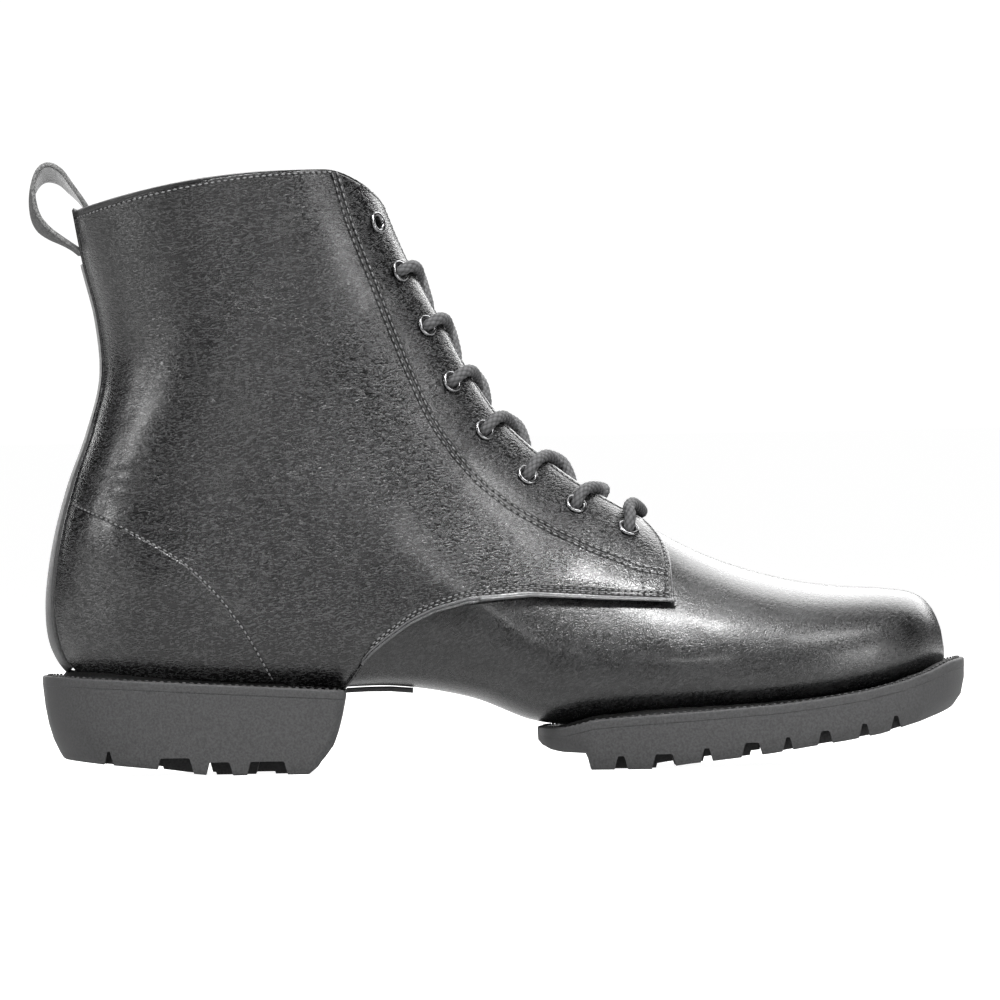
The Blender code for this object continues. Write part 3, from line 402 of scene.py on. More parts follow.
def toScene(points):
    return (np.asarray(points, dtype=float) + np.array(last["origin"])) * mm


# flat grid of quads, with the place of each vertex in it from 0 to 1 both ways
def startGrid(columns, rows):
    bm = bmesh.new()
    bmesh.ops.create_grid(bm, x_segments=columns, y_segments=rows, size=0.5)
    bm.verts.ensure_lookup_table()
    place = np.array([v.co[:2] for v in bm.verts]) + 0.5
    return bm, place


# value of its row at each vertex of a grid
def byRow(rows, place):
    return rows[np.rint(place[:, 1] * (len(rows) - 1)).astype(int)]


def moveVerts(bm, points):
    for vert, point in zip(bm.verts, toScene(points)):
        vert.co = point


def addSolidify(piece, thickness, inside=0, rim=0):
    thick = piece.modifiers.new("thickness", "SOLIDIFY")
    thick.thickness = thickness * mm
    thick.offset = -1.0
    thick.use_even_offset = False
    thick.material_offset = inside
    thick.material_offset_rim = rim


def bakeModifiers(piece):
    graph = bpy.context.evaluated_depsgraph_get()
    mesh = bpy.data.meshes.new_from_object(piece.evaluated_get(graph))
    piece.modifiers.clear()
    old = piece.data
    piece.data = mesh
    bpy.data.meshes.remove(old)


# shader nodes
def addNode(tree, kind, values=None, **settings):
    node = tree.nodes.new(kind)
    for key, value in settings.items():
        setattr(node, key, value)
    for key, value in (values or {}).items():
        node.inputs[key].default_value = value
    return node


def join(tree, source, target):
    tree.links.new(source, target)


def startGroup(name, inputs, outputs):
    tree = bpy.data.node_groups.new(name, "ShaderNodeTree")
    for label, kind, value in inputs:
        socket = tree.interface.new_socket(name=label, in_out="INPUT", socket_type=kind)
        if value is not None:
            socket.default_value = value
    for label, kind in outputs:
        tree.interface.new_socket(name=label, in_out="OUTPUT", socket_type=kind)
    return tree, tree.nodes.new("NodeGroupInput"), tree.nodes.new("NodeGroupOutput")


def mathNode(tree, operation, a, b=None, clamp=False):
    node = addNode(tree, "ShaderNodeMath", operation=operation, use_clamp=clamp)
    for index, value in enumerate((a, b)):
        if value is None:
            continue
        if isinstance(value, (int, float)):
            node.inputs[index].default_value = value
        else:
            join(tree, value, node.inputs[index])
    return node.outputs[0]


def mapRange(tree, value, fromMin, fromMax, toMin, toMax, smooth=True):
    node = addNode(tree, "ShaderNodeMapRange", {1: fromMin, 2: fromMax, 3: toMin, 4: toMax})
    node.interpolation_type = "SMOOTHSTEP" if smooth else "LINEAR"
    join(tree, value, node.inputs[0])
    return node.outputs[0]


def addNoise(tree, vector, values):
    node = addNode(tree, "ShaderNodeTexNoise", values)
    join(tree, vector, node.inputs["Vector"])
    return node.outputs


def readAttribute(tree, name):
    return addNode(tree, "ShaderNodeAttribute", attribute_name=name).outputs["Fac"]


# depth in millimetres
def addBump(tree, shader, height, depth):
    bump = addNode(tree, "ShaderNodeBump", {"Strength": 1.0, "Distance": depth * mm})
    join(tree, height, bump.inputs["Height"])
    join(tree, bump.outputs["Normal"], shader.inputs["Normal"])


# pebble grain of the hide, its pores, fine drawn lines and slow changes of tone
def makeGrainGroup():
    tree, given, out = startGroup("hideGrain", (
        ("Pebble Size", "NodeSocketFloat", 0.8), ("Line Amount", "NodeSocketFloat", 0.3),
        ("Line Turn", "NodeSocketFloat", 0.0), ("Streak Amount", "NodeSocketFloat", 0.65)), (
        ("Height", "NodeSocketFloat"), ("Tone", "NodeSocketFloat"), ("Pore", "NodeSocketFloat")))
    coords = addNode(tree, "ShaderNodeTexCoord")
    toMm = addNode(tree, "ShaderNodeVectorMath", operation="SCALE")
    toMm.inputs["Scale"].default_value = 1 / mm
    join(tree, coords.outputs["Object"], toMm.inputs[0])
    inMm = toMm.outputs[0]
    warp = addNoise(tree, inMm, {"Scale": 0.35, "Detail": 2.0})
    bent = addNode(tree, "ShaderNodeVectorMath", operation="MULTIPLY_ADD")
    bent.inputs[1].default_value = (1.6, 1.6, 1.6)
    join(tree, warp["Color"], bent.inputs[0])
    join(tree, inMm, bent.inputs[2])
    pebble = addNode(tree, "ShaderNodeTexVoronoi", feature="DISTANCE_TO_EDGE")
    join(tree, bent.outputs[0], pebble.inputs["Vector"])
    join(tree, mathNode(tree, "DIVIDE", 1.0, given.outputs["Pebble Size"]), pebble.inputs["Scale"])
    cells = mapRange(tree, pebble.outputs["Distance"], 0.0, 0.32, 0.0, 1.0)
    fine = addNoise(tree, inMm, {"Scale": 2.4, "Detail": 1.0, "Roughness": 0.5})
    spin = addNode(tree, "ShaderNodeCombineXYZ")
    join(tree, given.outputs["Line Turn"], spin.inputs["Y"])
    rotate = addNode(tree, "ShaderNodeVectorRotate", rotation_type="EULER_XYZ")
    join(tree, bent.outputs[0], rotate.inputs["Vector"])
    join(tree, spin.outputs[0], rotate.inputs["Rotation"])
    drawn = []
    for stretch, detail in (((0.72, 0.72, 2.3), 1.0), ((0.13, 0.13, 0.85), 3.0)):
        turn = addNode(tree, "ShaderNodeMapping", {"Scale": stretch}, vector_type="POINT")
        join(tree, rotate.outputs[0], turn.inputs["Vector"])
        noise = addNoise(tree, turn.outputs[0], {"Scale": 1.0, "Detail": detail, "Distortion": 0.4})
        drawn.append(noise["Fac"])
    ridged = mathNode(tree, "ABSOLUTE", mathNode(tree, "SUBTRACT", drawn[1], 0.5))
    lines = mapRange(tree, ridged, 0.0, 0.06, 1.0, 0.0)
    patch = addNoise(tree, inMm, {"Scale": 0.055, "Detail": 2.0})
    where = mapRange(tree, patch["Fac"], 0.38, 0.60, 0.35, 1.0)
    lines = mathNode(tree, "MULTIPLY", lines, where)
    lines = mathNode(tree, "MULTIPLY", lines, given.outputs["Line Amount"])
    streaks = mapRange(tree, drawn[0], 0.30, 0.70, 0.0, 1.0)
    streaks = mathNode(tree, "MULTIPLY", streaks, given.outputs["Streak Amount"])
    grain = mathNode(tree, "ADD", mathNode(tree, "MULTIPLY", cells, 0.18),
                     mathNode(tree, "MULTIPLY", fine["Fac"], 0.35))
    grain = mathNode(tree, "ADD", grain, streaks)
    grain = mathNode(tree, "SUBTRACT", grain, lines)
    join(tree, grain, out.inputs["Height"])
    slow = addNoise(tree, bent.outputs[0], {"Scale": 0.09, "Detail": 3.0})
    join(tree, slow["Fac"], out.inputs["Tone"])
    join(tree, mathNode(tree, "SUBTRACT", 1.0, cells), out.inputs["Pore"])
    return tree


# groove along a sewn line, from a distance attribute in millimetres
def makeSeamGroup():
    tree, given, out = startGroup("sewnGroove", (
        ("Distance", "NodeSocketFloat", 9.0), ("First Row", "NodeSocketFloat", 0.0),
        ("Second Row", "NodeSocketFloat", 0.0), ("Width", "NodeSocketFloat", 0.45)), (
        ("Depth", "NodeSocketFloat"),))
    depths = []
    for label in ("First Row", "Second Row"):
        offset = mathNode(tree, "SUBTRACT", given.outputs["Distance"], given.outputs[label])
        ratio = mathNode(tree, "DIVIDE", mathNode(tree, "ABSOLUTE", offset), given.outputs["Width"])
        depths.append(mapRange(tree, ratio, 0.0, 1.6, 1.0, 0.0))
    join(tree, mathNode(tree, "MAXIMUM", depths[0], depths[1]), out.inputs["Depth"])
    return tree


grainGroup = makeGrainGroup()
seamGroup = makeSeamGroup()


def startMaterial(name):
    material = bpy.data.materials.new(name)
    material.use_nodes = True
    tree = material.node_tree
    return material, tree, tree.nodes["Principled BSDF"]


def mixColor(tree, factor, a, b):
    node = addNode(tree, "ShaderNodeMix", data_type="RGBA")
    node.clamp_factor = False
    node.inputs[6].default_value = (*a, 1.0)
    node.inputs[7].default_value = (*b, 1.0)
    join(tree, factor, node.inputs[0])
    return node.outputs[2]


leatherLook = {
    "dark": (0.0020, 0.0020, 0.0021),
    "light": (0.038, 0.038, 0.0388),
    "roughLow": 0.17,
    "roughHigh": 0.22,
    "grainDepth": 0.12,      # millimetres
    "streak": 0.65,
    "wrinkleLines": 0.55,    # lines added where the leather is wrinkled
    "seamDepth": 0.25,
    "seamShade": 0.5,
    "edgeToneAndHighlight": 2.0,         # cut edges are this much lighter: pale raw edge plus a painted highlight
    "specular": 0.5,
    "coat": 0.14,
    "coatRough": 0.17,
}


# rows of seams are an attribute and two distances, a band is an attribute and its width,
# wrinkles are an attribute, and a pale edge (raw colour plus painted highlight) is an attribute and its
# width
def makeLeather(name, lineAmount, lineTurn, seams=(), band=None, pebble=0.8, wrinkles=None,
                paleHighlitEdges=(), streak=leatherLook["streak"], soft=0.0):
    material, tree, shader = startMaterial(name)
    grain = addNode(tree, "ShaderNodeGroup", {
        "Pebble Size": pebble, "Line Amount": lineAmount, "Line Turn": lineTurn,
        "Streak Amount": streak}, node_tree=grainGroup)
    if wrinkles:
        more = mathNode(tree, "MULTIPLY", readAttribute(tree, wrinkles), leatherLook["wrinkleLines"])
        join(tree, mathNode(tree, "ADD", more, lineAmount), grain.inputs["Line Amount"])
    lower = 0.5 * (leatherLook["streak"] - streak)    # weaker streaks lower the mean height
    tone = mapRange(tree, grain.outputs["Height"], 0.36 - lower, 1.0 - lower, 0.0, 1.0)
    slow = mapRange(tree, grain.outputs["Tone"], 0.35, 0.65, -0.05, 0.05)
    tone = mathNode(tree, "ADD", tone, slow, True)
    rough = mapRange(tree, grain.outputs["Tone"], 0.3, 0.7, leatherLook["roughLow"] + soft,
                     leatherLook["roughHigh"] + soft)
    rough = mathNode(tree, "ADD", rough, mathNode(tree, "MULTIPLY", grain.outputs["Pore"], 0.06))
    if band:
        inBand = mapRange(tree, readAttribute(tree, band[0]), band[1] - 0.2, band[1] + 0.2, 1.0, 0.0)
        tone = mathNode(tree, "SUBTRACT", tone, mathNode(tree, "MULTIPLY", inBand, 0.6), True)
        rough = mathNode(tree, "ADD", rough, mathNode(tree, "MULTIPLY", inBand, 0.15))
    height = mathNode(tree, "MULTIPLY", grain.outputs["Height"], leatherLook["grainDepth"])
    for attribute, first, second in seams:
        groove = addNode(tree, "ShaderNodeGroup", {"First Row": first, "Second Row": second},
                         node_tree=seamGroup)
        join(tree, readAttribute(tree, attribute), groove.inputs["Distance"])
        deep = mathNode(tree, "MULTIPLY", groove.outputs["Depth"], leatherLook["seamDepth"])
        height = mathNode(tree, "SUBTRACT", height, deep)
        shade = mathNode(tree, "MULTIPLY", groove.outputs["Depth"], leatherLook["seamShade"])
        tone = mathNode(tree, "SUBTRACT", tone, shade, True)
    # cut edges painted lighter: their pale raw colour and a painted highlight along them
    for attribute, width in paleHighlitEdges:
        near = mapRange(tree, readAttribute(tree, attribute), width - 0.15, width + 0.15,
                        leatherLook["edgeToneAndHighlight"], 0.0)
        tone = mathNode(tree, "ADD", tone, near)
    color = mixColor(tree, tone, leatherLook["dark"], leatherLook["light"])
    join(tree, color, shader.inputs["Base Color"])
    join(tree, rough, shader.inputs["Roughness"])
    shader.inputs["Specular IOR Level"].default_value = leatherLook["specular"]
    shader.inputs["Coat Weight"].default_value = leatherLook["coat"]
    shader.inputs["Coat Roughness"].default_value = leatherLook["coatRough"]
    addBump(tree, shader, height, 1.0)
    return material


def makePlain(name, dark, light, rough, scale, depth, metallic=0.0, detail=4.0):
    material, tree, shader = startMaterial(name)
    coords = addNode(tree, "ShaderNodeTexCoord").outputs["Object"]
    noise = addNoise(tree, coords, {"Scale": scale, "Detail": detail, "Roughness": 0.6})["Fac"]
    tone = mapRange(tree, noise, 0.3, 0.7, 0.0, 1.0)
    join(tree, mixColor(tree, tone, dark, light), shader.inputs["Base Color"])
    uneven = mapRange(tree, noise, 0.3, 0.7, rough * 0.85, min(rough * 1.15, 1.0))
    join(tree, uneven, shader.inputs["Roughness"])
    shader.inputs["Metallic"].default_value = metallic
    addBump(tree, shader, noise, depth)
    return material


# cord of the lace: raised plaits painted lighter and the lines between them darker, painted light and
# shade, with fine fibres
def makeBraid():
    material, tree, shader = startMaterial("laceCord")
    coords = addNode(tree, "ShaderNodeTexCoord").outputs["Object"]
    fibres = addNoise(tree, coords, {"Scale": 2600.0, "Detail": 3.0, "Roughness": 0.65})["Fac"]
    high = mapRange(tree, readAttribute(tree, "plait"), 0.15, 0.9, 0.0, 0.7)
    tone = mathNode(tree, "ADD", high, mathNode(tree, "MULTIPLY", fibres, 0.35), True)
    color = mixColor(tree, tone, (0.002, 0.002, 0.002), (0.085, 0.085, 0.088))
    join(tree, color, shader.inputs["Base Color"])
    join(tree, mapRange(tree, fibres, 0.3, 0.7, 0.6, 0.8), shader.inputs["Roughness"])
    addBump(tree, shader, fibres, 0.12)
    return material


sewn = {
    "eyestayGap": 0.75,      # each row of the double line lies this far from its middle
    "lowRows": (2.2, 3.6),   # rows above the quarter's lower edge
    "rimRow": 2.1,           # row along the facing and the collar
    "pitch": 2.05,
    "longPitch": 2.45,
    "width": 0.30,
    "rise": 0.24,
    "share": 0.37,           # half a stitch's length, as a share of the pitch
    "hole": 0.48,
    "holeRise": 0.10,
    "lowEnd": 13.55,         # section where the lower rows end at the sole
    "lowFade": 13.6,
    "rimPlaces": (9.45, 25.1),   # sections between which the facing's row runs
    "frontRow": 0.12,        # sections behind the lobe's front edge
    "eyestay": (             # x, z
        (-51.8, 193.1), (-49.4, 184.2), (-46.7, 175.2), (-40.9, 160.0), (-35.4, 145.3), (-29.6, 130.5),
        (-23.4, 115.7), (-19.4, 108.2), (-13.2, 99.6), (-5.7, 91.1), (3.1, 83.9), (12.0, 78.4),
        (20.9, 73.7), (29.7, 69.4), (38.6, 65.7), (44.3, 63.1), (53.5, 61.3)),
    "counter": (
        (-134.2, 86.6), (-123.7, 81.9), (-111.6, 75.4), (-99.7, 67.5), (-89.5, 56.8), (-81.5, 45.8),
        (-75.0, 34.5), (-72.3, 30.0)),
    "cornerBox": ((44.6, 63.0), (45.4, 58.6), (46.0, 54.5)),
}

quarterLeather = makeLeather("quarterHide", 0.12, 0.10, (
    ("eyestayLine", sewn["eyestayGap"], -sewn["eyestayGap"]), ("counterLine", 0.0, 0.0),
    ("lowLine", *sewn["lowRows"]), ("rimLine", sewn["rimRow"], sewn["rimRow"])),
    ("collarLine", sewn["rimRow"]), wrinkles="wrinkle", paleHighlitEdges=(("lowLine", 1.55), ("rimLine", 0.5)))
vampLeather = makeLeather("vampHide", 0.06, 0.5, pebble=0.7, streak=0.36, soft=0.06)
stripLeather = makeLeather("stripHide", 0.06, 0.0)
liningLook = makePlain("liningHide", (0.030, 0.029, 0.028), (0.050, 0.048, 0.046), 0.75, 700, 0.10)
suedeLook = makePlain("loopSuede", (0.016, 0.016, 0.016), (0.10, 0.10, 0.099), 0.95, 1100, 0.30)
backstayLook = makePlain("backstayHide", (0.012, 0.012, 0.0122), (0.05, 0.05, 0.051), 0.5, 1300, 0.16)
cutEdgeLook = makePlain("stripCutEdge", (0.05, 0.05, 0.05), (0.20, 0.20, 0.198), 0.9, 1500, 0.20)
rubberLook = makePlain("soleRubber", (0.020, 0.020, 0.0205), (0.052, 0.052, 0.053), 0.72, 1400, 0.07,
                       detail=5.0)
# dark thread painted lighter grey: its own colour plus a painted sheen
threadSheenLook = makePlain("threadWithPaintedSheen", (0.085, 0.085, 0.086), (0.19, 0.19, 0.193), 0.5, 1800, 0.05)
# near-black painted shade: in the needle holes and on the soles' layers under the upper
paintedShadeLook = makePlain("paintedShadeBlack", (0.002, 0.002, 0.002), (0.004, 0.004, 0.004), 0.9, 1800, 0.02)
metalLook = makePlain("ringMetal", (0.16, 0.16, 0.163), (0.26, 0.26, 0.264), 0.26, 300, 0.01, 1.0)
laceLook = makeBraid()
print("materials made")


eyelet = {
    "rise": 0.8,
    "inside": -3.0,          # height where the lace starts, under the ring
    "mouth": 1.2,
    "vampHole": 2.6,
    "quarterHole": 3.2,
    "steps": 28,
    "places": (              # x, z on the outer side, bottom to top
        (41.0, 75.4), (24.2, 83.6), (8.7, 93.4), (-5.0, 108.2),
        (-15.3, 124.0), (-23.0, 142.1), (-31.5, 159.8), (-38.4, 175.5)),
}
eyeletPlaces = [locate(x, z) for x, z in eyelet["places"]]


def eyeletCentre(side, index, height):
    s, phi = eyeletPlaces[index]
    point, normal = onLast(side, s, phi, height)
    return point[0], normal[0]


# faces under the eyelets are taken out, the rings cover their edges
def openHoles(bm, side, radius):
    centres = [Vector(toScene(eyeletCentre(side, k, 0.0)[0])) for k in range(len(eyelet["places"]))]
    doomed = [face for face in bm.faces
              if any((face.calc_center_median() - c).length < radius * mm for c in centres)]
    bmesh.ops.delete(bm, geom=doomed, context="FACES")


vamp = {
    "columns": 200,
    "shaft": 14.0,           # section where the shaft starts, with coarser rows above it
    "frontRows": 210,
    "shaftRows": 42,
    "bridge": 0.03,          # share of the loop between the two facings
    "toeEnd": 0.1415,        # x in metres, the open end at the toe lies past it
}


def makeVamp():
    rows = np.concatenate((evenRows(0.0, vamp["shaft"], vamp["frontRows"], 0.5),
                           evenRows(vamp["shaft"], collar, vamp["shaftRows"], 0.6)[1:]))
    bm, place = startGrid(vamp["columns"], len(rows) - 1)
    s = byRow(rows, place)
    v = place[:, 0]
    points = np.zeros((len(v), 3))
    bridge = vamp["bridge"]
    for side, mask in ((outerSide, v < 0.5 - bridge), (innerSide, v > 0.5 + bridge)):
        reach = np.minimum(v[mask], 1 - v[mask]) / (0.5 - bridge)
        phi = reach * topShare(side, s[mask])
        flat, normal = onLast(side, s[mask], phi)
        edge = lowShare(side, s[mask])
        bare = np.clip((edge - phi) * 60, 0, 1) + np.where(s[mask] < quarter["lobe"], 1.0, 0.0)
        points[mask] = flat + normal * (foldHeight(flat) * np.clip(bare, 0, 1))[:, None]
    mask = np.abs(v - 0.5) <= bridge
    across = (v[mask] - 0.5) / bridge
    left = onLast(outerSide, s[mask], topShare(outerSide, s[mask]))[0]
    right = onLast(innerSide, s[mask], topShare(innerSide, s[mask]))[0]
    points[mask] = left + (right - left) * ((across + 1) / 2)[:, None]
    moveVerts(bm, points)
    throat = bentRow(np.array(last["throat"]), 1.0)
    doomed = []
    for face in bm.faces:
        index = [vert.index for vert in face.verts]
        if np.abs(v[index] - 0.5).max() <= bridge + 0.004 and s[index].min() > throat:
            doomed.append(face)
    bmesh.ops.delete(bm, geom=doomed, context="FACES")
    for side in (outerSide, innerSide):
        openHoles(bm, side, eyelet["vampHole"])
    bmesh.ops.remove_doubles(bm, verts=bm.verts, dist=1e-6)
    ends = [e for e in bm.edges if e.is_boundary and min(vert.co.x for vert in e.verts) > vamp["toeEnd"]]
    bmesh.ops.holes_fill(bm, edges=ends)
    bmesh.ops.recalc_face_normals(bm, faces=bm.faces)
    piece = finishMesh("vampAndLining", bm, ["upper"], [vampLeather, liningLook])
    addSolidify(piece, last["wall"], 1, 0)


def makeQuarter(side, word):
    rowCount, columnCount = quarter["rows"], quarter["columns"]
    near = np.array((0.0, 0.0022, 0.0048, 0.0085, 0.014))
    between = np.linspace(0.022, 0.978, columnCount + 1 - 2 * len(near))
    rises = np.concatenate((near, between, 1 - near[::-1]))
    rows = evenRows(quarter["lobe"], collar, rowCount - 5)
    first = rows[1] - rows[0]
    rows = np.concatenate((rows[:1] + first * np.array((0.0, 0.2, 0.45)), rows[1:-1],
                           rows[-1] - (rows[-1] - rows[-2]) * np.array((0.75, 0.5, 0.3, 0.15, 0.0))))
    bm, place = startGrid(columnCount, len(rows) - 1)
    rise = rises[np.rint(place[:, 0] * columnCount).astype(int)]
    s = bentRow(byRow(rows, place), rise)
    low = lowShare(side, s)
    top = topShare(side, s)
    girth = girthAt(side, s)
    phi = low + (top - low) * rise + last["gap"] / girth * (rise == 0)
    flat, normal = onLast(side, s, phi)
    lowLine = (phi - low) * girth
    facingLine = (top - phi) * girth
    byColumn = flat.reshape(len(rows), columnCount + 1, 3)
    steps = np.linalg.norm(np.diff(byColumn, axis=0), axis=2)
    start = np.zeros((1, columnCount + 1))
    fromFront = np.concatenate((start, np.cumsum(steps, axis=0))).ravel()
    toCollar = np.concatenate((np.cumsum(steps[::-1], axis=0)[::-1], start)).ravel()
    rimLine = np.minimum(np.minimum(facingLine, toCollar), fromFront)
    nearest = np.minimum(rimLine, lowLine)
    soft = np.clip(1 - nearest / quarter["softEdge"], 0, 1)
    drop = quarter["edgeDrop"] * (1 - np.sqrt(1 - soft**2))
    roll = quarter["roll"] * np.exp(-((lowLine - 0.95) / 0.6)**2)
    lift = last["gap"] + quarter["skin"] - drop + roll + foldHeight(flat) * np.clip(nearest / 6, 0, 1)
    moveVerts(bm, flat + normal * lift[:, None])
    values = {"eyestayLine": lineDistance(flat, sewn["eyestay"]),
              "counterLine": lineDistance(flat, sewn["counter"]),
              "lowLine": np.where(s > sewn["lowFade"], 9.0, lowLine), "rimLine": rimLine,
              "collarLine": toCollar, "wrinkle": wrinkleAt(flat)}
    if side == innerSide:
        bmesh.ops.reverse_faces(bm, faces=bm.faces)
    for key in values:
        layer = bm.verts.layers.float.new(key)
        for vert, number in zip(bm.verts, values[key]):
            vert[layer] = number
    openHoles(bm, side, eyelet["quarterHole"])
    piece = finishMesh("quarter" + word, bm, ["quarter_" + word.lower()], [quarterLeather])
    addSolidify(piece, quarter["skin"] - 0.1)


makeVamp()
makeQuarter(outerSide, "Lateral")
makeQuarter(innerSide, "Medial")
print("upper made")


def makeBackstay():
    rows = evenRows(last["heelCorner"] + backstay["start"], backstay["top"], backstay["rows"])
    bm, place = startGrid(backstay["columns"], len(rows) - 1)
    v = place[:, 0] * 2 - 1
    s = byRow(rows, place)
    points = np.zeros((len(v), 3))
    for side, mask in ((outerSide, v <= 0), (innerSide, v > 0)):
        girth = girthAt(side, s[mask])
        phi = np.abs(v[mask]) * (lowShare(side, s[mask]) - last["gap"] / girth)
        flat, normal = onLast(side, s[mask], phi)
        inset = (1 - np.abs(v[mask])) * lowShare(side, s[mask]) * girth
        soft = np.clip(1 - inset / backstay["softEdge"], 0, 1)
        lift = last["gap"] + backstay["skin"] - backstay["edgeDrop"] * (1 - np.sqrt(1 - soft**2))
        points[mask] = flat + normal * lift[:, None]
    moveVerts(bm, points)
    bmesh.ops.recalc_face_normals(bm, faces=bm.faces)
    piece = finishMesh("backstay", bm, ["backstay"], [backstayLook, cutEdgeLook])
    addSolidify(piece, backstay["skin"] - 0.2, 0, 1)


loop = {
    "width": 17.0,
    "thick": 1.6,
    "shear": 5.8,
    "lean": 0.2,
    "crown": 0.35,
    "steps": 90,
    "across": 14,
    "path": (                # x, z
        (-133.4, 168.6), (-135.6, 170.8), (-138.4, 173.2), (-142.0, 176.4), (-144.6, 180.2),
        (-146.0, 184.6), (-146.3, 189.8), (-145.0, 193.8), (-142.6, 195.4), (-139.3, 193.6),
        (-136.3, 189.4), (-133.2, 184.8), (-130.8, 180.0), (-129.2, 172.5)),
}


def makeLoop():
    steps = loop["steps"]
    path = smoothPath(loop["path"], steps + 1)
    run = unit(np.gradient(path, axis=0))
    normal = np.stack((-run[:, 1], run[:, 0]), 1)
    bm, place = startGrid(loop["across"], steps)
    i = np.rint(place[:, 1] * steps).astype(int)
    v = place[:, 0]
    hang = loop["shear"] * np.sin(math.pi * i / steps)**2 * v
    out = loop["thick"] / 2 + loop["crown"] * (1 - (2 * v - 1)**2) - loop["crown"]
    x = path[i, 0] + normal[i, 0] * out - loop["lean"] * hang
    z = path[i, 1] + normal[i, 1] * out - hang
    y = (v - 0.5) * loop["width"]
    fade = np.clip(1 - i / (0.3 * steps), 0, 1)     # the lower end bends in round the shaft's back
    moveVerts(bm, np.stack((x + fade * (y**2 / 60 + 1.3), y, z), 1))
    looks = [stripLeather, suedeLook, cutEdgeLook]
    piece = finishMesh("pullLoop", bm, ["pull_loop"], looks)
    addSolidify(piece, loop["thick"] - 0.2, 1, 2)


tongue = {
    "below": 0.9,            # sections it starts in front of the throat
    "top": 24.2,
    "rows": 120,
    "columns": 30,
    "bridge": 0.35,          # share of its width between the two facings
    "under": 0.9,            # clear of the wall's inside
    "wide": 0.84,            # its sides end at this share of the way up from the quarter's lower edge
    "thick": 1.8,
}


def makeTongue():
    rows = evenRows(last["throat"] - tongue["below"], tongue["top"], tongue["rows"], 0.1)
    bm, place = startGrid(tongue["columns"], len(rows) - 1)
    s = byRow(rows, place)
    v = place[:, 0] * 2 - 1
    points = np.zeros((len(v), 3))
    bridge = tongue["bridge"]
    deep = -last["wall"] - tongue["under"]
    for side, mask in ((outerSide, v < -bridge), (innerSide, v > bridge)):
        wide = (np.abs(v[mask]) - bridge) / (1 - bridge)
        low = lowShare(side, s[mask])
        phi = 1 - wide * (1 - (low + (1 - low) * tongue["wide"]))
        points[mask] = onLast(side, s[mask], phi, deep)[0]
    mask = np.abs(v) <= bridge
    left = onLast(outerSide, s[mask], 1.0, deep)[0]
    right = onLast(innerSide, s[mask], 1.0, deep)[0]
    points[mask] = left + (right - left) * ((v[mask] / bridge + 1) / 2)[:, None]
    moveVerts(bm, points)
    bmesh.ops.recalc_face_normals(bm, faces=bm.faces)
    piece = finishMesh("tongue", bm, ["tongue"], [stripLeather, liningLook])
    addSolidify(piece, tongue["thick"], 1, 0)


insole = {
    "front": 2.9,
    "back": 0.5,             # sections it ends in front of the heel's corner
    "rows": 120,
    "columns": 30,
    "wide": 0.77,            # share of the way to the quarter's lower edge
    "above": 3.0,            # over the wall's inside
    "thick": 2.2,
}


def makeInsole():
    rows = evenRows(insole["front"], last["heelCorner"] - insole["back"], insole["rows"], 1.0)
    bm, place = startGrid(insole["columns"], len(rows) - 1)
    s = byRow(rows, place)
    v = place[:, 0] * 2 - 1
    points = np.zeros((len(v), 3))
    for side, mask in ((outerSide, v <= 0), (innerSide, v > 0)):
        phi = np.abs(v[mask]) * lowShare(side, s[mask]) * insole["wide"]
        points[mask] = onLast(side, s[mask], phi, -last["wall"] - insole["above"])[0]
    moveVerts(bm, points)
    bmesh.ops.recalc_face_normals(bm, faces=bm.faces)
    piece = finishMesh("insole", bm, ["insole"], [liningLook])
    addSolidify(piece, insole["thick"])


makeBackstay()
makeLoop()
makeTongue()
makeInsole()
print("strips and inside made")


